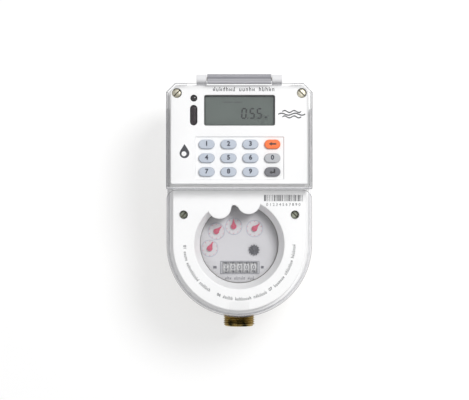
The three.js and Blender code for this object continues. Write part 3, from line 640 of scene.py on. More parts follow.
# Dark metal on the walls of the screw slots: painted shade in the slots.
SLOT_PAINTED_SHADE = metal("slot_painted_shade", (66, 62, 50), (104, 100, 86), 0.5, 90, 1500, 0.15)
STEEL = metal("motor_can", (130, 132, 135), (190, 192, 196), 0.3, 80, 1200, 0.1)
CASE = metal("register_case", (112, 104, 84), (168, 158, 132), 0.4, 60, 800, 0.2)
DIAL = plastic("dial_face", (226, 225, 228), 0.5, 0.02)
RED = plastic("hand_red", (212, 24, 88), 0.35, 0.06)
NAVY = plastic("star_navy", (16, 17, 34), 0.35, 0.1)
BEZEL = plastic("counter_bezel", (206, 206, 210), 0.45, 0.03)
BEZEL_LINE = plastic("bezel_line", (96, 98, 106), 0.5, 0.05)
WHEEL = plastic("wheel_white", (225, 225, 224), 0.45, 0.02)
INK = plastic("ink_grey", (92, 93, 102), 0.55, 0.06)
INK_DARK = plastic("ink_dark", (52, 54, 60), 0.55, 0.06)
INK_PALE = plastic("ink_pale", (172, 178, 196), 0.55, 0.06)
INK_PINK = plastic("ink_pink", (214, 92, 126), 0.55, 0.06)
KEY_INK = plastic("key_ink", (22, 28, 52), 0.5, 0.08)
KEY_GREY = plastic("key_grey", (190, 198, 210), 0.46, 0.03)
KEY_ZERO = plastic("key_zero", (184, 186, 190), 0.46, 0.03)
KEY_ORANGE = plastic("key_orange", (255, 116, 38), 0.42, 0.04)
KEY_DARK = plastic("key_dark", (112, 113, 119), 0.46, 0.05)
BROWN_INK = plastic("arrow_brown", (46, 26, 22), 0.5, 0.08)
LCD_GREY = plastic("lcd_grey", (100, 110, 105), 0.3, 0.07, patch=14)
# A dark frame round the display's glass: the module's own frame, made darker as painted shade for the recess
# round the display.
LCD_FRAME_PAINTED_SHADE = plastic("lcd_frame_painted_shade", (62, 68, 66), 0.4, 0.06)
LCD_BLACK = plastic("lcd_black", (20, 21, 23), 0.4, 0.1)
LCD_SEGMENT = plastic("lcd_segment", (22, 25, 27), 0.4, 0.05)
LCD_GHOST = plastic("lcd_ghost", (74, 81, 79), 0.4, 0.05)
LED_DARK = plastic("led_dark", (28, 24, 26), 0.2, 0.1)
IR_DARK = plastic("ir_dark", (32, 20, 26), 0.2, 0.12)
RUBBER = plastic("seal_rubber", (38, 38, 40), 0.7, 0.1, bump=0.25)
DARK_PLASTIC = plastic("dark_plastic", (52, 56, 62), 0.5, 0.08, bump=0.2)
INNER = plastic("inner_plastic", (222, 223, 224), 0.45, 0.03)
MAGNET = plastic("magnet_black", (58, 58, 60), 0.4, 0.1)
BOARD = plastic("circuit_board", (28, 98, 64), 0.4, 0.12, patch=160)
SLEEVE = plastic("battery_sleeve", (62, 110, 78), 0.35, 0.06)
HIDDEN_NODES = (
    (INNER, ("measuring_chamber", "impeller", "pressure_plate", "seat_inner", "seat_outer")),
    (DARK_PLASTIC, ("inlet_strainer", "actuator_case")),
    (RUBBER, ("body_seal", "panel_gasket")),
    (NICKEL, ("valve_ball", "valve_stem", "counter_axle")),
    (BOARD, ("main_board", "pulse_sensor_board")),
    (STEEL, ("valve_motor",)),
    (BRASS, ("motor_pinion",)),
    (MAGNET, ("register_magnet",)),
    (SLEEVE, ("battery",)),
)


# ---------------------------------------------------------------- housing
def screw_places():
    return {name: (middle(name).x, middle(name).y, high(name).z) for name in SCREWS}


def build_base():
    shell = Shell()
    floor, neck_edge = FOOT + 3, NECK_TOP - 0.3
    steps = rim(1.6, FOOT, up=-1)
    steps += [(0, SEAM - 0.8), (-0.5, SEAM - 0.4), (-0.5, SEAM + 0.4), (0, SEAM + 0.8)]
    steps += rim(0.8, LEDGE)[::-1]
    steps += [(-2.0, LEDGE), (-2.0, neck_edge), (-2.3, NECK_TOP), (-4.3, NECK_TOP)]
    steps += [(-4.6, neck_edge), (-4.6, NECK_FOOT), (-2.6, NECK_FOOT), (-2.6, floor)]
    rings = shell.loft(shield(HALF, REAR, CORNER, 2.0), steps)
    holes = [
        shell.loft(circle(0, 0, CAP_HOLE, 128), rim(0.6, FOOT, side=1, up=-1) + [(0, floor)]),
        shell.loft(circle(0, STEM_Y, STEM_HOLE), rim(0.4, FOOT, side=1, up=-1) + [(0, floor)]),
    ]
    shell.fill(rings[0], *[hole[0] for hole in holes])
    shell.fill(rings[-1], *[hole[-1] for hole in holes])
    sunk = floor - 0.1
    collar = [(CAP_HOLE, sunk), (49.6, sunk), (49.6, 71.2), (36, 71.2), (36, 68.3), (CAP_HOLE, 68.3)]
    shell.lathe(collar, loop=True)
    for x, y, _ in screw_places().values():
        shell.at(x, y)
        shell.tube(SCREW_HOLE, 4, sunk, neck_edge, 32)
    piece(shell, "white_base_shell", WHITE_BASE, ["base_housing"])


def screw_hole(shell, name, face, foot, boss=()):
    """A screw's hole down from a face, with a seat for its head. Returns its first and last ring."""
    x, y, head = screw_places()[name]
    seat, narrow = head - SCREW_SEAT, SCREW_HOLE - SCREWS[name]
    steps = rim(0.35, face, side=1) + [(0, seat), (narrow, seat)]
    if boss:
        depth, wall = boss
        steps += [(narrow, seat - depth), (wall, seat - depth), (wall, foot)]
    else:
        steps.append((narrow, foot))
    rings = shell.loft(circle(x, y, SCREWS[name], 48), steps)
    return rings[0], rings[-1]


def funnel_radius(z):
    return DIAL_RIM - (DIAL_RIM - DIAL_FOOT) * (LOWER_FACE - z) / (LOWER_FACE - FUNNEL_FOOT)


def build_upper_face(shell):
    """The raised face, hollow below except for two solid rear corners that take the screws."""
    under, foot = UPPER_FACE - WALL, PANEL_FOOT + 0.2
    outline = cut_corners(UPPER_HALF, UPPER_FRONT, UPPER_REAR, 4.9, 1.4)
    hollow = cut_corners(UPPER_HALF - WALL, UPPER_FRONT + WALL, UPPER_REAR - WALL, 15.4, 1.0)
    outer = shell.loft(outline, rim(0.9, UPPER_FACE) + [(0, foot)])
    inner = shell.loft(hollow, [(0, foot), (0, under)])
    openings = [
        (rectangle(*LCD, 1.5), 0.5),
        (rectangle(*KEYPAD, 0.8), 0.45),
        (obround(*INFRARED), 0.25),
        (circle(*LED), 0.25),
    ]
    tops, bottoms, pilots = [], [], []
    for opening, edge in openings:
        rings = shell.loft(opening, rim(edge, UPPER_FACE, side=1) + [(0, under)])
        tops.append(rings[0])
        bottoms.append(rings[-1])
    for name in ("screw_rear_left", "screw_rear_right"):
        top, pilot = screw_hole(shell, name, UPPER_FACE, foot)
        tops.append(top)
        pilots.append(pilot)
    shell.fill(outer[0], *tops)
    shell.fill(inner[-1], *bottoms)
    shell.fill(outer[-1], inner[0], *pilots)


def build_lower_face(shell):
    under = LOWER_FACE - WALL
    outline = arch(LOWER_HALF, UPPER_FRONT + 1.6)
    steps = rim(0.9, LOWER_FACE) + [(0, PANEL_FOOT + 0.2), (-WALL, PANEL_FOOT + 0.2), (-WALL, under)]
    outer = shell.loft(outline, steps)
    steps = rim(0.7, LOWER_FACE, side=1) + [(0, FUNNEL_FOOT), (1.9, FUNNEL_FOOT), (1.9, under)]
    rings = [shell.ring(dial_opening(funnel_radius(z), grow), z) for grow, z in steps]
    for first, second in zip(rings, rings[1:]):
        shell.bridge(first, second)
    tops, bottoms = [rings[0]], [rings[-1]]
    for name in ("screw_front_left", "screw_front_right"):
        top, bottom = screw_hole(shell, name, LOWER_FACE, under, boss=(1.5, 1.6))
        tops.append(top)
        bottoms.append(bottom)
    shell.fill(outer[0], *tops)
    shell.fill(outer[-1], *bottoms)


def build_knuckles(shell):
    """Arms that rise from the rear edge of the panel and carry the hinge pin."""
    under, sunk = UPPER_FACE - WALL - HINGE.z, UPPER_FACE - 0.1 - HINGE.z
    arm = [(-5.2, under), (-1.6, under)] + arc(0, 0, 3.5, -62, 140, 28) + [(-4.7, sunk), (-5.2, sunk)]
    # The knuckles take the greyer painted-shade white.
    shell.finish = 1
    shell.place = along_x(0, HINGE.y, HINGE.z)
    for start in (-KNUCKLE_END, KNUCKLE_END - KNUCKLE_WIDTH):
        shell.slab(free_form(arm), start, start + KNUCKLE_WIDTH, [circle(0, 0, PIN_HOLE, 32)], 0.35, 0.35)
    shell.place = Matrix()
    shell.finish = 0


def build_crease(shell):
    """A faint ridge across each rear corner of the upper face, through its screw hole."""
    reach = 174.6
    for side in (-1, 1):
        for start, end in ((UPPER_HALF - 1.2, 54.4), (47.6, reach - UPPER_REAR + 1.2)):
            across = Vector((1, 1)).normalized() * 0.14
            along = [Vector((start, reach - start)), Vector((end, reach - end))]
            corners = [along[0] + across, along[1] + across, along[1] - across, along[0] - across]
            strip = free_form([(side * point.x, point.y) for point in corners][::side])
            shell.slab(strip, UPPER_FACE - 0.1, UPPER_FACE + 0.07, (), 0.05, 0.0)


def build_panel():
    shell = Shell()
    build_upper_face(shell)
    build_lower_face(shell)
    flange = shield(HALF - 2.4, REAR - 1.8, CORNER, 2.0)
    shell.slab(flange, PANEL_FOOT, PANEL_FOOT + 2, [lambda grow=0: flange(grow - 4.4)], 0.3)
    build_knuckles(shell)
    build_crease(shell)
    piece(shell, "white_top_panel", [WHITE, KNUCKLE_PAINTED_SHADE], ["top_panel"])


def build_cover():
    """The clear cover over the dial: a plate with a wall round its front and sides."""
    shell = Shell()
    radius = 8.0
    inner_half = HALF - COVER_WALL
    centre = (HALF - radius, COVER_REAR - radius)
    meet = math.degrees(math.acos((inner_half - centre[0]) / radius))
    under = COVER_TOP - COVER_WALL

    def wall_path(grow=0):
        right = arc(*centre, radius + grow, 0, meet, 7)
        left = [(-x, y) for x, y in reversed(right)]
        return left + arc(0, 0, HALF + grow, 180, 360, 129) + right

    def rear_path(grow=0):
        right = arc(*centre, radius + grow, meet, 90, 7)[1:]
        return right + [(-x, y) for x, y in reversed(right)]

    def whole(grow=0):
        return wall_path(grow) + rear_path(grow)

    # Finish 2, on the rims, is the dark painted shade.
    walls, rims = 1, 2
    walled = len(wall_path())
    inner = [wall_path()[0]] + arc(0, 0, inner_half, 180, 360, 129) + [wall_path()[-1]]
    shell.finish = rims
    edge = shell.loft(whole, rim(0.7, COVER_TOP))
    shell.finish = walls
    outer = edge + [shell.ring(whole(), under)]
    shell.bridge(edge[-1], outer[-1])
    foot = shell.ring(wall_path(), COVER_FOOT)
    shell.bridge(outer[-1][:walled], foot, closed=False)
    inner_foot = [foot[0]] + shell.ring(inner[1:-1], COVER_FOOT) + [foot[-1]]
    inner_top = [outer[-1][0]] + shell.ring(inner[1:-1], under) + [outer[-1][walled - 1]]
    shell.bridge(inner_foot, inner_top, closed=False)
    shell.fill(foot + inner_foot[1:-1][::-1])
    shell.finish = 0
    holes = []
    for name in ("screw_front_left", "screw_front_right"):
        x, y, _ = screw_places()[name]
        steps = rim(0.3, COVER_TOP, side=1) + [(0, under)]
        holes.append(shell.loft(circle(x, y, SCREWS[name], 40), steps))
    shell.fill(outer[0], *[hole[0] for hole in holes])
    shell.fill(inner_top + outer[-1][walled:], *[hole[-1] for hole in holes])
    pad = rectangle(0, -51.5, 16, 9, 1)
    shell.slab(pad, COVER_TOP + 0.02, COVER_TOP + 0.4, (), 0.15, 0.05)
    finishes = [CLEAR, CLEAR_WALL, RIM_PAINTED_SHADE]
    piece(shell, "clear_dial_cover", finishes, ["lower_clear_cover"])


def build_lid():
    shell = Shell()
    walls, barrel, rims, lip, sides, barrel_rear = range(1, 7)
    touch = LID_UNDER - 0.02
    plate = cut_corners(LID_HALF, LID_FRONT, REAR, CORNER, 1.5)
    shell.slab(plate, LID_UNDER, LID_TOP, (), 0.6, 0.3, rims=rims)
    step_y, short_foot, lip_foot = 110.9, 112.6, COVER_TOP + 0.7
    front, back = LID_FRONT + 2.3, REAR - CORNER
    side = [(front - 0.4, lip_foot), (front, lip_foot), (front, LID_FOOT), (step_y, LID_FOOT)]
    side += [(step_y, short_foot), (back, short_foot), (back, touch), (front - 0.4, touch)]
    # The side walls take the dark painted-shade finish.
    shell.finish = sides
    for start in (-LID_HALF, LID_HALF - COVER_WALL):
        shell.place = along_x(start, 0, 0)
        shell.slab(free_form(side), 0, COVER_WALL, (), 0.25, 0.25, rims=rims)
    shell.place = Matrix()
    # The front bar takes the bright painted-light finish.
    shell.finish = lip
    bar = rectangle(0, LID_FRONT + COVER_WALL / 2, 2 * LID_HALF - 0.1, COVER_WALL, 0.3, 2)
    shell.slab(bar, lip_foot, touch, (), 0.2, 0.35, rims=rims)
    shell.finish = walls
    recess, inner_rear = 42.8, REAR - COVER_WALL
    for mirror in (1, -1):
        outer = [(LID_HALF, back), (LID_HALF - CORNER, REAR), (recess, REAR)]
        inner = [(recess, inner_rear), (LID_HALF - CORNER - 0.7, inner_rear)]
        inner += [(LID_HALF - COVER_WALL, back - 0.7)]
        path = [(mirror * x, y) for x, y in outer + inner][::mirror]
        shell.slab(free_form(path), short_foot, touch, (), 0.1, 0.2, rims=rims)
    shell.finish = barrel
    barrel_half = 26.1
    shell.place = along_x(-barrel_half, HINGE.y, HINGE.z)
    shell.tube(PIN_HOLE, 4.1, 0, 2 * barrel_half, 64, 0.5)
    # The rear half of the barrel takes the darker tint, a painted shade.
    for face in shell.mesh.faces:
        if face.material_index == barrel and face.calc_center_median().y > HINGE.y * MM:
            face.material_index = barrel_rear
    shell.place = Matrix()
    shell.slab(rectangle(0, REAR + 0.7, 2 * barrel_half, 1.3, 0.2, 2), LID_UNDER, LID_TOP, (), 0.2, 0.2)
    finishes = [CLEAR, CLEAR_WALL, CLEAR_BARREL, RIM_PAINTED_SHADE, LIP_PAINTED_LIGHT, SIDE_PAINTED_SHADE, BARREL_PAINTED_SHADE]
    piece(shell, "clear_flip_lid", finishes, ["flip_lid"], "lid")
    pin = Shell()
    pin.place = along_x(-34, HINGE.y, HINGE.z)
    pin.rod(1.5, 0, 68, 32, 0.4)
    piece(pin, "polished_hinge_pin", NICKEL, ["hinge_pin"], "lid")


def build_screws():
    for name, (x, y, head) in screw_places().items():
        length = head - low(name).z
        shell = Shell()
        shell.at(x, y, head)
        r = high(name).x - middle(name).x
        profile = [(0, -length), (0.7, -length), (1.6, 1.6 - length), (1.6, -2.2), (r, -2.2)]
        profile += [(r, -0.9), (r - 0.2, -0.45), (r - 0.7, -0.15), (0.5 * r, -0.03), (0, 0)]
        shell.lathe(profile, 48)
        # The front screws take the darker nickel, painted shade for their deep holes.
        finishes = [NICKEL if "rear" in name else NICKEL_PAINTED_SHADE, SLOT_PAINTED_SHADE]
        body = shell.to_object("slotted_" + name, finishes)
        slot = Shell()
        # The faces cut by the slot take the dark painted shade.
        slot.finish = 1
        slot.at(x, y, head, -math.copysign(45, x))
        slot.slab(rectangle(0, 0, 10, 1.0, 0.05, 1), -1.2, 1, (), 0.02, 0.1)
        combined(body, [slot.to_object("slot", finishes)], "DIFFERENCE")
        place_piece(body, [name])


# ---------------------------------------------------------------- keypad and display
def build_keypad_mat():
    shell = Shell()
    foot, top = 106.6, high("keypad_mat").z
    x, y, width, depth = KEYPAD
    holes = []
    for name in KEYS:
        centre = middle(name)
        holes.append(obround(centre.x, centre.y, KEY_WIDTH + KEY_GAP, KEY_DEPTH + KEY_GAP))
    shell.slab(rectangle(x, y, width - 0.1, depth - 0.1, 0.8), foot, top, holes, 0.15, 0.1, 0.35)
    piece(shell, "moulded_keypad_mat", MAT_WHITE, ["keypad_mat"])


def arrow_left(shell, x, y, z):
    """A left arrow: a triangle and a shaft."""
    outline = [(-3, 0), (-0.6, -1.5), (-0.6, -0.65), (3, -0.65), (3, 0.65), (-0.6, 0.65), (-0.6, 1.5)]
    shell.at(x, y)
    shell.stamp(free_form(outline), z, thick=0.06, edge=0.02)


def arrow_enter(shell, x, y, z):
    """A return arrow: it comes down on the right and points left."""
    outline = [(-2.5, -0.6), (-0.7, -2.1), (-0.7, -1.2), (2.3, -1.2), (2.3, 2.1), (1.0, 2.1), (1.0, 0)]
    outline += [(-0.7, 0), (-0.7, 0.9)]
    shell.at(x, y)
    shell.stamp(free_form(outline), z, thick=0.06, edge=0.02)


def build_keys():
    finishes = {"key_back": KEY_ORANGE, "key_enter": KEY_DARK, "key_0": KEY_ZERO}
    for name in KEYS:
        centre, (foot, top) = middle(name), levels(name)
        shell = Shell()
        steps = [(-2.2, top)] + rim(0.6, top) + rim(0.3, foot + 1.9, up=-1)[::-1]
        shell.solid(obround(centre.x, centre.y, KEY_WIDTH, KEY_DEPTH), steps)
        shell.at(centre.x, centre.y)
        shell.rod(1.6, foot, foot + 2, 24, 0.2)
        piece(shell, "cap_" + name, finishes.get(name, KEY_GREY), [name], name + "_cap")
        mark = Shell()
        if name == "key_back":
            arrow_left(mark, centre.x, centre.y + 0.3, top)
        elif name == "key_enter":
            arrow_enter(mark, centre.x, centre.y + 0.2, top)
        else:
            mark.write(name[-1], 3.8, centre.x, centre.y + 0.4, top + 0.04, bold=0.2)
        ink = {"key_back": BROWN_INK, "key_enter": LCD_BLACK}.get(name, KEY_INK)
        piece(mark, "mark_" + name, ink, body=name + "_cap")


SEGMENTS = {"0": "abcdef", "5": "acdfg"}


def segment(shell, start, end, width, z):
    """One bar of a seven-segment digit, with pointed ends."""
    first, last = Vector(start), Vector(end)
    along = (last - first).normalized()
    across = Vector((-along.y, along.x)) * width / 2
    first, last = first + along * 0.12, last - along * 0.12
    path = [first, first + along * width / 2 - across, last - along * width / 2 - across]
    path += [last, last - along * width / 2 + across, first + along * width / 2 + across]
    shell.stamp(free_form([tuple(point) for point in path]), z, thick=LCD_FILM)


def lcd_digit(shell, digit, x, y, z):
    """A slanted seven-segment digit whose lower left corner is at x, y."""
    wide, tall, lean = 3.4, 7.8, 0.07
    spots = {}
    for row, py in (("b", 0), ("m", 0.5), ("t", 1)):
        for column, px in (("l", 0), ("r", 1)):
            spots[row + column] = (x + wide * px + tall * py * lean, y + tall * py)
    ends = {"a": "tl tr", "b": "tr mr", "c": "mr br", "d": "bl br", "e": "ml bl", "f": "tl ml", "g": "ml mr"}
    for name in SEGMENTS[digit]:
        first, last = ends[name].split()
        segment(shell, spots[first], spots[last], 1.25, z)


def build_display():
    x, y, width, depth = LCD
    bottom, top = levels("lcd_module")
    shell = Shell()
    # The outer slab is the dark frame, partly painted shade in the display's recess.
    shell.finish = 1
    shell.slab(rectangle(x, y, 62, 30, 1), bottom, top - 0.3, (), 0.3, 0.3)
    shell.finish = 0
    shell.slab(rectangle(x, y - 0.4, width - 2.0, depth - 2.0, 0.6), top - 0.28, top, (), 0.15, 0.0)
    piece(shell, "display_panel", [LCD_GREY, LCD_FRAME_PAINTED_SHADE], ["lcd_module"])
    marks = Shell()
    left, foot = 1.9, 103.2
    for index, digit in enumerate("055"):
        lcd_digit(marks, digit, left + 5.8 * index + (0.9 if index else 0), foot, top)
    marks.stamp(circle(left + 5.1, foot, 0.5, 12), top, thick=LCD_FILM)
    marks.stamp(rectangle(21.8, foot + 0.8, 1.9, 1.7, 0.2, 1), top, thick=LCD_FILM)
    marks.stamp(rectangle(23.6, foot + 2.0, 0.8, 0.9, 0.1, 1), top, thick=LCD_FILM)
    marks.finish = 1
    for along, width in letter_places(16.5, (5, 4)):
        marks.stamp(rectangle(along - 14, 116.3, width, 1.2, 0.2, 1), top, thick=LCD_FILM)
    piece(marks, "display_digits", [LCD_SEGMENT, LCD_GHOST])
    pane = Shell()
    bottom, top = levels("lcd_window")
    pane.slab(rectangle(x, y, 61, 28, 1), bottom, top, (), 0.2, 0.2)
    piece(pane, "display_pane", WINDOW, ["lcd_window"])


def build_lights():
    led = Shell()
    centre, (foot, top) = middle("status_led"), levels("status_led")
    led.at(centre.x, centre.y)
    dome = [(0, foot), (2.5, foot), (2.5, top - 1.3), (2.35, top - 0.9), (1.9, top - 0.45), (1.1, top - 0.12)]
    led.lathe(dome + [(0, top)], 32)
    piece(led, "dark_status_led", LED_DARK, ["status_led"])
    window = Shell()
    foot, top = levels("ir_window")
    x, y, width, length = INFRARED
    steps = [(-2.4, top), (-1.7, top - 0.05), (-0.8, top - 0.3), (-0.2, top - 0.8), (0, top - 1.4), (0, foot)]
    window.solid(obround(x, y, width - 0.6, length - 0.6), steps)
    piece(window, "infrared_filter", IR_DARK, ["ir_window"])


# ---------------------------------------------------------------- register
def build_register_case():
    shell = Shell()
    (foot, top), radius = levels("register_case"), high("register_case").x
    groove, waist, inner, floor = 72, radius - 0.5, radius - 1.6, foot + 2
    profile = [(0, foot), (radius, foot), (radius, groove), (waist, groove + 0.5), (waist, groove + 2)]
    profile += [(radius, groove + 2.5), (radius, top), (inner, top), (inner, floor), (0, floor)]
    shell.lathe(rounded(profile, 0.4), 128)
    piece(shell, "drawn_register_case", CASE, ["register_case"])
    glass = Shell()
    (foot, top), radius = levels("register_glass"), high("register_glass").x
    profile = [(0, top - 2.2), (radius - 2.4, top - 2.2), (radius - 2.4, foot), (radius, foot)]
    profile += [(radius, top - 1.2), (radius - 1.2, top), (0, top)]
    glass.lathe(rounded(profile, 0.5), 128)
    piece(glass, "foggy_register_glass", GLASS, ["register_glass"])


def hands():
    """(hand body, centre, tip angle in degrees) of each dial hand."""
    tips = {1: 65, 2: 43, 3: 90, 4: 45}
    return [(index, axis_of(f"hand_{index}_spin"), tip) for index, tip in tips.items()]


def build_dial():
    shell = Shell()
    pivots = [centre for _, centre, _ in hands()] + [axis_of("leak_star_spin")]
    holes = [rectangle(COUNTER_X, COUNTER_Y, 31.4, 9.2, 0.8)]
    holes += [circle(pivot.x, pivot.y, 0.95, 20) for pivot in pivots]
    shell.slab(circle(0, 0, DIAL_PLATE, 128), low("dial_plate").z, DIAL_TOP, holes, 0.2, 0.2, 0.15)
    piece(shell, "printed_dial_plate", DIAL, ["dial_plate"])
    marks = Shell()
    for _, centre, _ in hands():
        # A ring round each hand, not quite closed, and ten dots inside it.
        band = arc(centre.x, centre.y, 7.15, 0, 358, 60) + arc(centre.x, centre.y, 6.65, 358, 0, 60)
        marks.finish = 0
        marks.stamp(free_form(band), DIAL_TOP)
        marks.finish = 1
        for tick in range(10):
            marks.stamp(circle(*polar(5.9, 36 * tick + 18, centre.x, centre.y), 0.42, 10), DIAL_TOP)
    marks.finish = 2
    for x, width in ((-20.2, 3.0), (19.2, 2.4)):
        marks.stamp(rectangle(x, -19.6, width, 2.2, 0.3, 1), DIAL_TOP)
    greeked_line(marks, -12, 12.5, -28.5, 2.8, DIAL_TOP, random.Random(4), (3, 5, 3))
    piece(marks, "dial_print", [INK_PALE, INK_PINK, INK])
    bezel = Shell()
    cells = [rectangle(middle(f"number_wheel_{i}").x, COUNTER_Y, 5.25, 8.6, 0.3) for i in range(1, 6)]
    foot, top = DIAL_TOP + 0.02, DIAL_TOP + 0.5
    bezel.slab(rectangle(COUNTER_X, COUNTER_Y, 32.8, 11, 0.8), foot, top, cells, 0.15, 0.05, 0.1)
    bezel.finish = 1
    for width, depth in ((32.6, 10.8), (30.0, 9.3)):
        inside = rectangle(COUNTER_X, COUNTER_Y, width - 0.8, depth - 0.8, 0.3)
        line = rectangle(COUNTER_X, COUNTER_Y, width, depth, 0.7)
        bezel.slab(line, top, top + 0.06, [inside], 0.02, 0, 0.02)
    piece(bezel, "counter_bezel", [BEZEL, BEZEL_LINE])


def hub_and_spindle(shell, radius):
    shell.rod(radius, 0.7, 2.5, 32, 0.35)
    shell.rod(0.6, -4.5, 0.8, 16)


def build_hands():
    for index, centre, tip in hands():
        shell = Shell()
        shell.at(centre.x, centre.y, DIAL_TOP, tip)
        blade = arc(0, 0, 2.4, 42, 318, 28) + [(3.4, -0.85), (6, -0.3), (6, 0.3), (3.4, 0.85)]
        shell.slab(free_form(blade), 1.1, 1.9, (), 0.3, 0.1)
        hub_and_spindle(shell, 1.2)
        piece(shell, f"red_hand_{index}", RED, [f"pointer_{index}"], f"hand_{index}")
    star = axis_of("leak_star_spin")
    shell = Shell()
    shell.at(star.x, star.y, DIAL_TOP)
    teeth = [polar(3.5 if corner % 2 else 4.9, 15 * corner) for corner in range(24)]
    shell.slab(free_form(teeth), 0.9, 1.9, (), 0.15, 0.1)
    hub_and_spindle(shell, 1.3)
    piece(shell, "navy_leak_star", NAVY, ["star_wheel"], "leak_star")


def build_wheels():
    radius = (high("number_wheel_1").z - low("number_wheel_1").z) / 2
    for index in range(1, 6):
        node = f"number_wheel_{index}"
        centre = middle(node)
        shell = Shell()
        shell.place = along_x(centre.x - 2.4, centre.y, centre.z)
        shell.tube(1.05, radius, 0, 4.8, 80, 0.3)
        shell.at(*centre)
        shell.finish = 1
        phase = 18 if index == 1 else 0
        for digit in range(10):
            shell.write(str(digit), 3.6, 0, 0, 0, 36 * digit + phase, 0.06, wrap=radius)
        piece(shell, "printed_" + node, [WHEEL, KEY_INK], [node], f"counter_wheel_{index}")


# ---------------------------------------------------------------- print on the lower face
def pseudo_letter(shell, width, height, z, chance):
    """Two strokes and a bar that stand for a letter of small print, centred on the place."""
    stroke = min(0.2 * height, 0.3 * width)
    tall_side = chance.choice((-1, 0, 1, 0))
    for side in (-1, 1):
        tall = height * (1 if side == tall_side else 0.68)
        x, y = side * (width - stroke) / 2, (tall - height) / 2
        shell.stamp(rectangle(x, y, stroke, tall, 0.05, 1), z)
    y = height * chance.choice((-0.42, -0.2, 0.1))
    shell.stamp(rectangle(0, y, width - 1.2 * stroke, stroke, 0.05, 1), z)


def letter_places(length, words):
    """(middle, width) of each letter along a line, for words of the given numbers of letters."""
    pitch = length / (sum(words) + len(words) - 1)
    start = 0
    for letters in words:
        for _ in range(letters):
            yield start + pitch / 2, 0.66 * pitch
            start += pitch
        start += pitch


def greeked_line(shell, start, end, y, height, z, chance, words):
    """A line of small print without any letters."""
    for middle_x, width in letter_places(end - start, words):
        shell.at(start + middle_x, y)
        pseudo_letter(shell, width, height, z, chance)
    shell.place = Matrix()


def greeked_arc(shell, radius, start, end, height, z, chance, words):
    """The same along a circle, read from outside the lower half."""
    for along, width in letter_places(math.radians(end - start) * radius, words):
        angle = start + math.degrees(along / radius)
        shell.at(*polar(radius, angle), turn=angle + 90)
        pseudo_letter(shell, width, height, z, chance)
    shell.place = Matrix()


def wave(shell, x, y, length, height, width, z):
    """A wavy stroke centred on x, y."""
    upper, lower = [], []
    for step in range(33):
        share = step / 32
        px = x + (share - 0.5) * length
        py = y + height * math.sin(4 * math.pi * share)
        upper.append((px, py + width / 2))
        lower.append((px, py - width / 2))
    shell.stamp(free_form(lower + upper[::-1]), z)


def water_drop(shell, x, y, radius, z):
    """A drop with its tip up and a round highlight left open."""
    shoulder, tip = 0.45 * radius, y + 1.9 * radius
    outline = arc(x, y, radius, 150, 390, 40)
    outline += [(x + shoulder, y + 1.2 * radius), (x, tip), (x - shoulder, y + 1.2 * radius)]
    gap = circle(x - 0.1 * radius, y - 0.1 * radius, 0.5 * radius, 32)
    shell.stamp(free_form(outline), z, [gap])


def build_print():
    chance = random.Random(11)
    z, line_radius = LOWER_FACE, 44.8
    shell = Shell()
    # Each line round the dial: its number, its first and last angle and the letters of its words.
    lines = (("01", 183, 238, (5, 11, 7)), ("06", 248, 300, (5, 8, 7)), ("07", 305, 360, (7, 8, 7)))
    for number, angle, end, words in lines:
        shell.write(number, 2.4, *polar(line_radius, angle), z + 0.04, angle - 270, 0.05)
        greeked_arc(shell, line_radius, angle + 4.5, end, 2.9, z, chance, words)
    # A made-up barcode, with digits below it that count up.
    x, bars_end, foot, top = 20.3, 52.0, 35.2, 40.6
    while x < bars_end:
        width = chance.choice((0.25, 0.25, 0.5, 0.75))
        bar = rectangle(x + width / 2, (foot + top) / 2, width, top - foot, 0.02, 1)
        shell.stamp(bar, z)
        x += width + chance.choice((0.35, 0.35, 0.7))
    for index, digit in enumerate("01234567890"):
        shell.write(digit, 2.4, 22.9 + 2.65 * index, 32.5, z + 0.04)
    piece(shell, "lower_face_print", INK_DARK)
    # The title line, three waves and a water drop.
    title = Shell()
    greeked_line(title, -21.9, 29, 126.8, 3.6, UPPER_FACE, chance, (7, 5, 5))
    for row in (-2.2, 0, 2.2):
        wave(title, 42.8, 106.3 + row, 22 - 3 * abs(row), 0.8, 1.0, UPPER_FACE)
    water_drop(title, -44.7, 74.4, 4.0, UPPER_FACE)
    piece(title, "upper_face_print", INK_DARK)


# ---------------------------------------------------------------- pipework
def turned(profile, place=None, sides=96, edge=0):
    """A solid turned from a profile of (radius, z) points, for joining or cutting."""
    shell = Shell()
    if place:
        shell.place = place
    shell.lathe(rounded(profile, edge) if edge else profile, sides)
    return shell.to_object("casting", [BRASS])


def rod(radius, foot, top, place=None, sides=96, edge=0):
    return turned([(0, foot), (radius, foot), (radius, top), (0, top)], place, sides, edge)


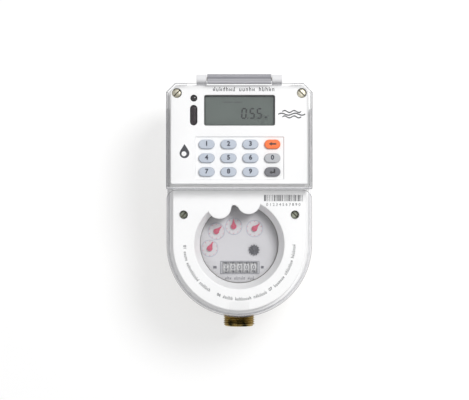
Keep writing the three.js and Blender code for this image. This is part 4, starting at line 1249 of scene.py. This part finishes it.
def build_brass():
    inlet, bowl_r, bowl_top = low("brass_body").y, 42.0, high("brass_body").z
    hollow_r, hollow_foot = 38, 12
    stem = Matrix.Translation((0, STEM_Y, 0))
    outside = [(0, 0), (33, 0), (35, 2), (bowl_r - 1.5, 16), (bowl_r, 22), (bowl_r, 49.5)]
    outside += [(bowl_r + 1.6, 51.5), (bowl_r + 1.6, bowl_top)]
    inside = [(hollow_r, bowl_top), (hollow_r, hollow_foot), (0, hollow_foot)]
    bowl = turned(outside + inside, sides=128, edge=1.2)
    neck = turned([(0, 0), (14.6, 0), (14.6, 18), (17, 30), (0, 30)], along_y(inlet + 13), edge=1.0)
    valve = rod(15.5, 0, 44, along_y(30), edge=0.8)
    gland = rod(8, PIPE_Z, bowl_top, stem, 64, edge=0.8)
    body = combined(bowl, [neck, valve, gland], "UNION")
    cavity = rod(hollow_r, hollow_foot, bowl_top + 1, sides=128)
    waterway = rod(BORE, 0, 134, along_y(inlet - 1))
    chamber = rod(10.4, 0, 22, along_y(53.2))
    stem_hole = rod(3.35, PIPE_Z, 61, stem, 48)
    combined(body, [cavity, waterway, chamber, stem_hole], "DIFFERENCE")
    body.name = "cast_brass_body"
    place_piece(body, ["brass_body"])
    thread = Shell()
    thread.place = along_y(inlet)
    thread.thread(13.3, **THREAD)
    piece(thread, "inlet_thread", BRASS_DARK)
    arrow = Shell()
    for side in (-1, 1):
        # A flow arrow cast on each side of the bowl.
        arrow.place = along_x(0, 0, PIPE_Z, side)
        outline = [(-9, -1.6), (3, -1.6), (3, -4.6), (10, 0), (3, 4.6), (3, 1.6), (-9, 1.6)]
        arrow.slab(free_form(outline), 40.5, 42.9, (), 0.5, 0.1)
    piece(arrow, "flow_arrows", BRASS)


def build_cap_ring():
    shell = Shell()
    foot, top = levels("cap_ring")
    inner, outer, mouth, lip_foot, grips = 43.9, 47.5, 36, 63, 8
    profile = [(inner, foot), (outer, foot), (outer, top), (mouth, top), (mouth, lip_foot), (inner, lip_foot)]
    shell.lathe(rounded(profile, 0.8, closed=True), 160, loop=True)
    ring = shell.to_object("machined_cap_ring", [BRASS])
    notches = []
    for grip in range(grips):
        place = Matrix.Translation((*polar(outer + 1.1, 360 / grips * grip), 0))
        notches.append(rod(2.4, 50, 55.7, place, 24))
    combined(ring, notches, "DIFFERENCE")
    place_piece(ring, ["cap_ring"])


def build_end_fitting():
    """The outlet's fitting: a spigot into the valve body, a hexagon and the outer thread."""
    shell = Shell()
    start, length, chamfer = 74.3, 6, 1.3
    shell.place = along_y(start)
    steps = [(-chamfer, 0), (0, 0.8), (0, length - 0.8), (-chamfer, length)]
    rings = shell.loft(polygon(arc(0, 0, 16.5, 30, 330, 6), 1.0), steps)
    holes = shell.loft(circle(0, 0, BORE), [(0, 0), (0, length)])
    shell.fill(rings[0], holes[0])
    shell.fill(rings[-1], holes[-1])
    shell.tube(BORE, 10.1, -1.5, 0.2)
    thread_start = start + length - 0.1
    shell.place = along_y(thread_start)
    shell.thread(high("valve_end_fitting").y - thread_start, **THREAD)
    piece(shell, "outlet_fitting", BRASS, ["valve_end_fitting"])


# ---------------------------------------------------------------- stage
def build_stage():
    mesh = bpy.data.meshes.new("floor")
    reach = 6.0
    corners = [(-reach, -reach, 0), (reach, -reach, 0), (reach, reach, 0), (-reach, reach, 0)]
    mesh.from_pydata(corners, [], [(0, 1, 2, 3)])
    mesh.materials.append(plastic("floor_white", (178, 178, 178), 0.85, 0.004, 300, 0.02, 3, 0.1))
    shader = mesh.materials[0].node_tree.nodes["Principled BSDF"]
    shader.inputs["Emission Color"].default_value = (1.0, 1.0, 1.0, 1.0)
    shader.inputs["Emission Strength"].default_value = 0.6
    floor = bpy.data.objects.new("floor", mesh)
    bpy.context.scene.collection.objects.link(floor)
    scene = bpy.context.scene
    scene.world = bpy.data.worlds.new("soft_room")
    scene.world.use_nodes = True
    sky = scene.world.node_tree.nodes["Background"]
    sky.inputs["Color"].default_value = (1.0, 1.0, 1.0, 1.0)
    sky.inputs["Strength"].default_value = 0.5
    lamp = bpy.data.lights.new("key", "AREA")
    lamp.shape = "DISK"
    lamp.size = 0.55
    lamp.energy = 15
    key = bpy.data.objects.new("key", lamp)
    key.location = (0.52, 0.58, 1.45)
    key.rotation_euler = (Vector((0, 0.04, 0.1)) - key.location).to_track_quat("-Z", "Y").to_euler()
    scene.collection.objects.link(key)
    scene.view_settings.view_transform = "Standard"


def build_camera():
    camera = bpy.data.cameras.new("overhead")
    camera.sensor_width = 36
    camera.lens = 140.4
    camera.clip_end = 20
    eye = bpy.data.objects.new("overhead", camera)
    eye.location = (-0.0039, 0.0363, LOWER_FACE * MM + 1.5)
    bpy.context.scene.collection.objects.link(eye)
    bpy.context.scene.camera = eye


for finish, nodes in HIDDEN_NODES:
    for node in nodes:
        hidden = frame["nodes"][node]
        hidden.data.materials.clear()
        hidden.data.materials.append(finish)

build_base()
build_panel()
build_cover()
build_lid()
build_screws()
build_keypad_mat()
build_keys()
build_display()
build_lights()
build_register_case()
build_dial()
build_hands()
build_wheels()
build_print()
build_brass()
build_cap_ring()
build_end_fitting()
build_stage()
build_camera()
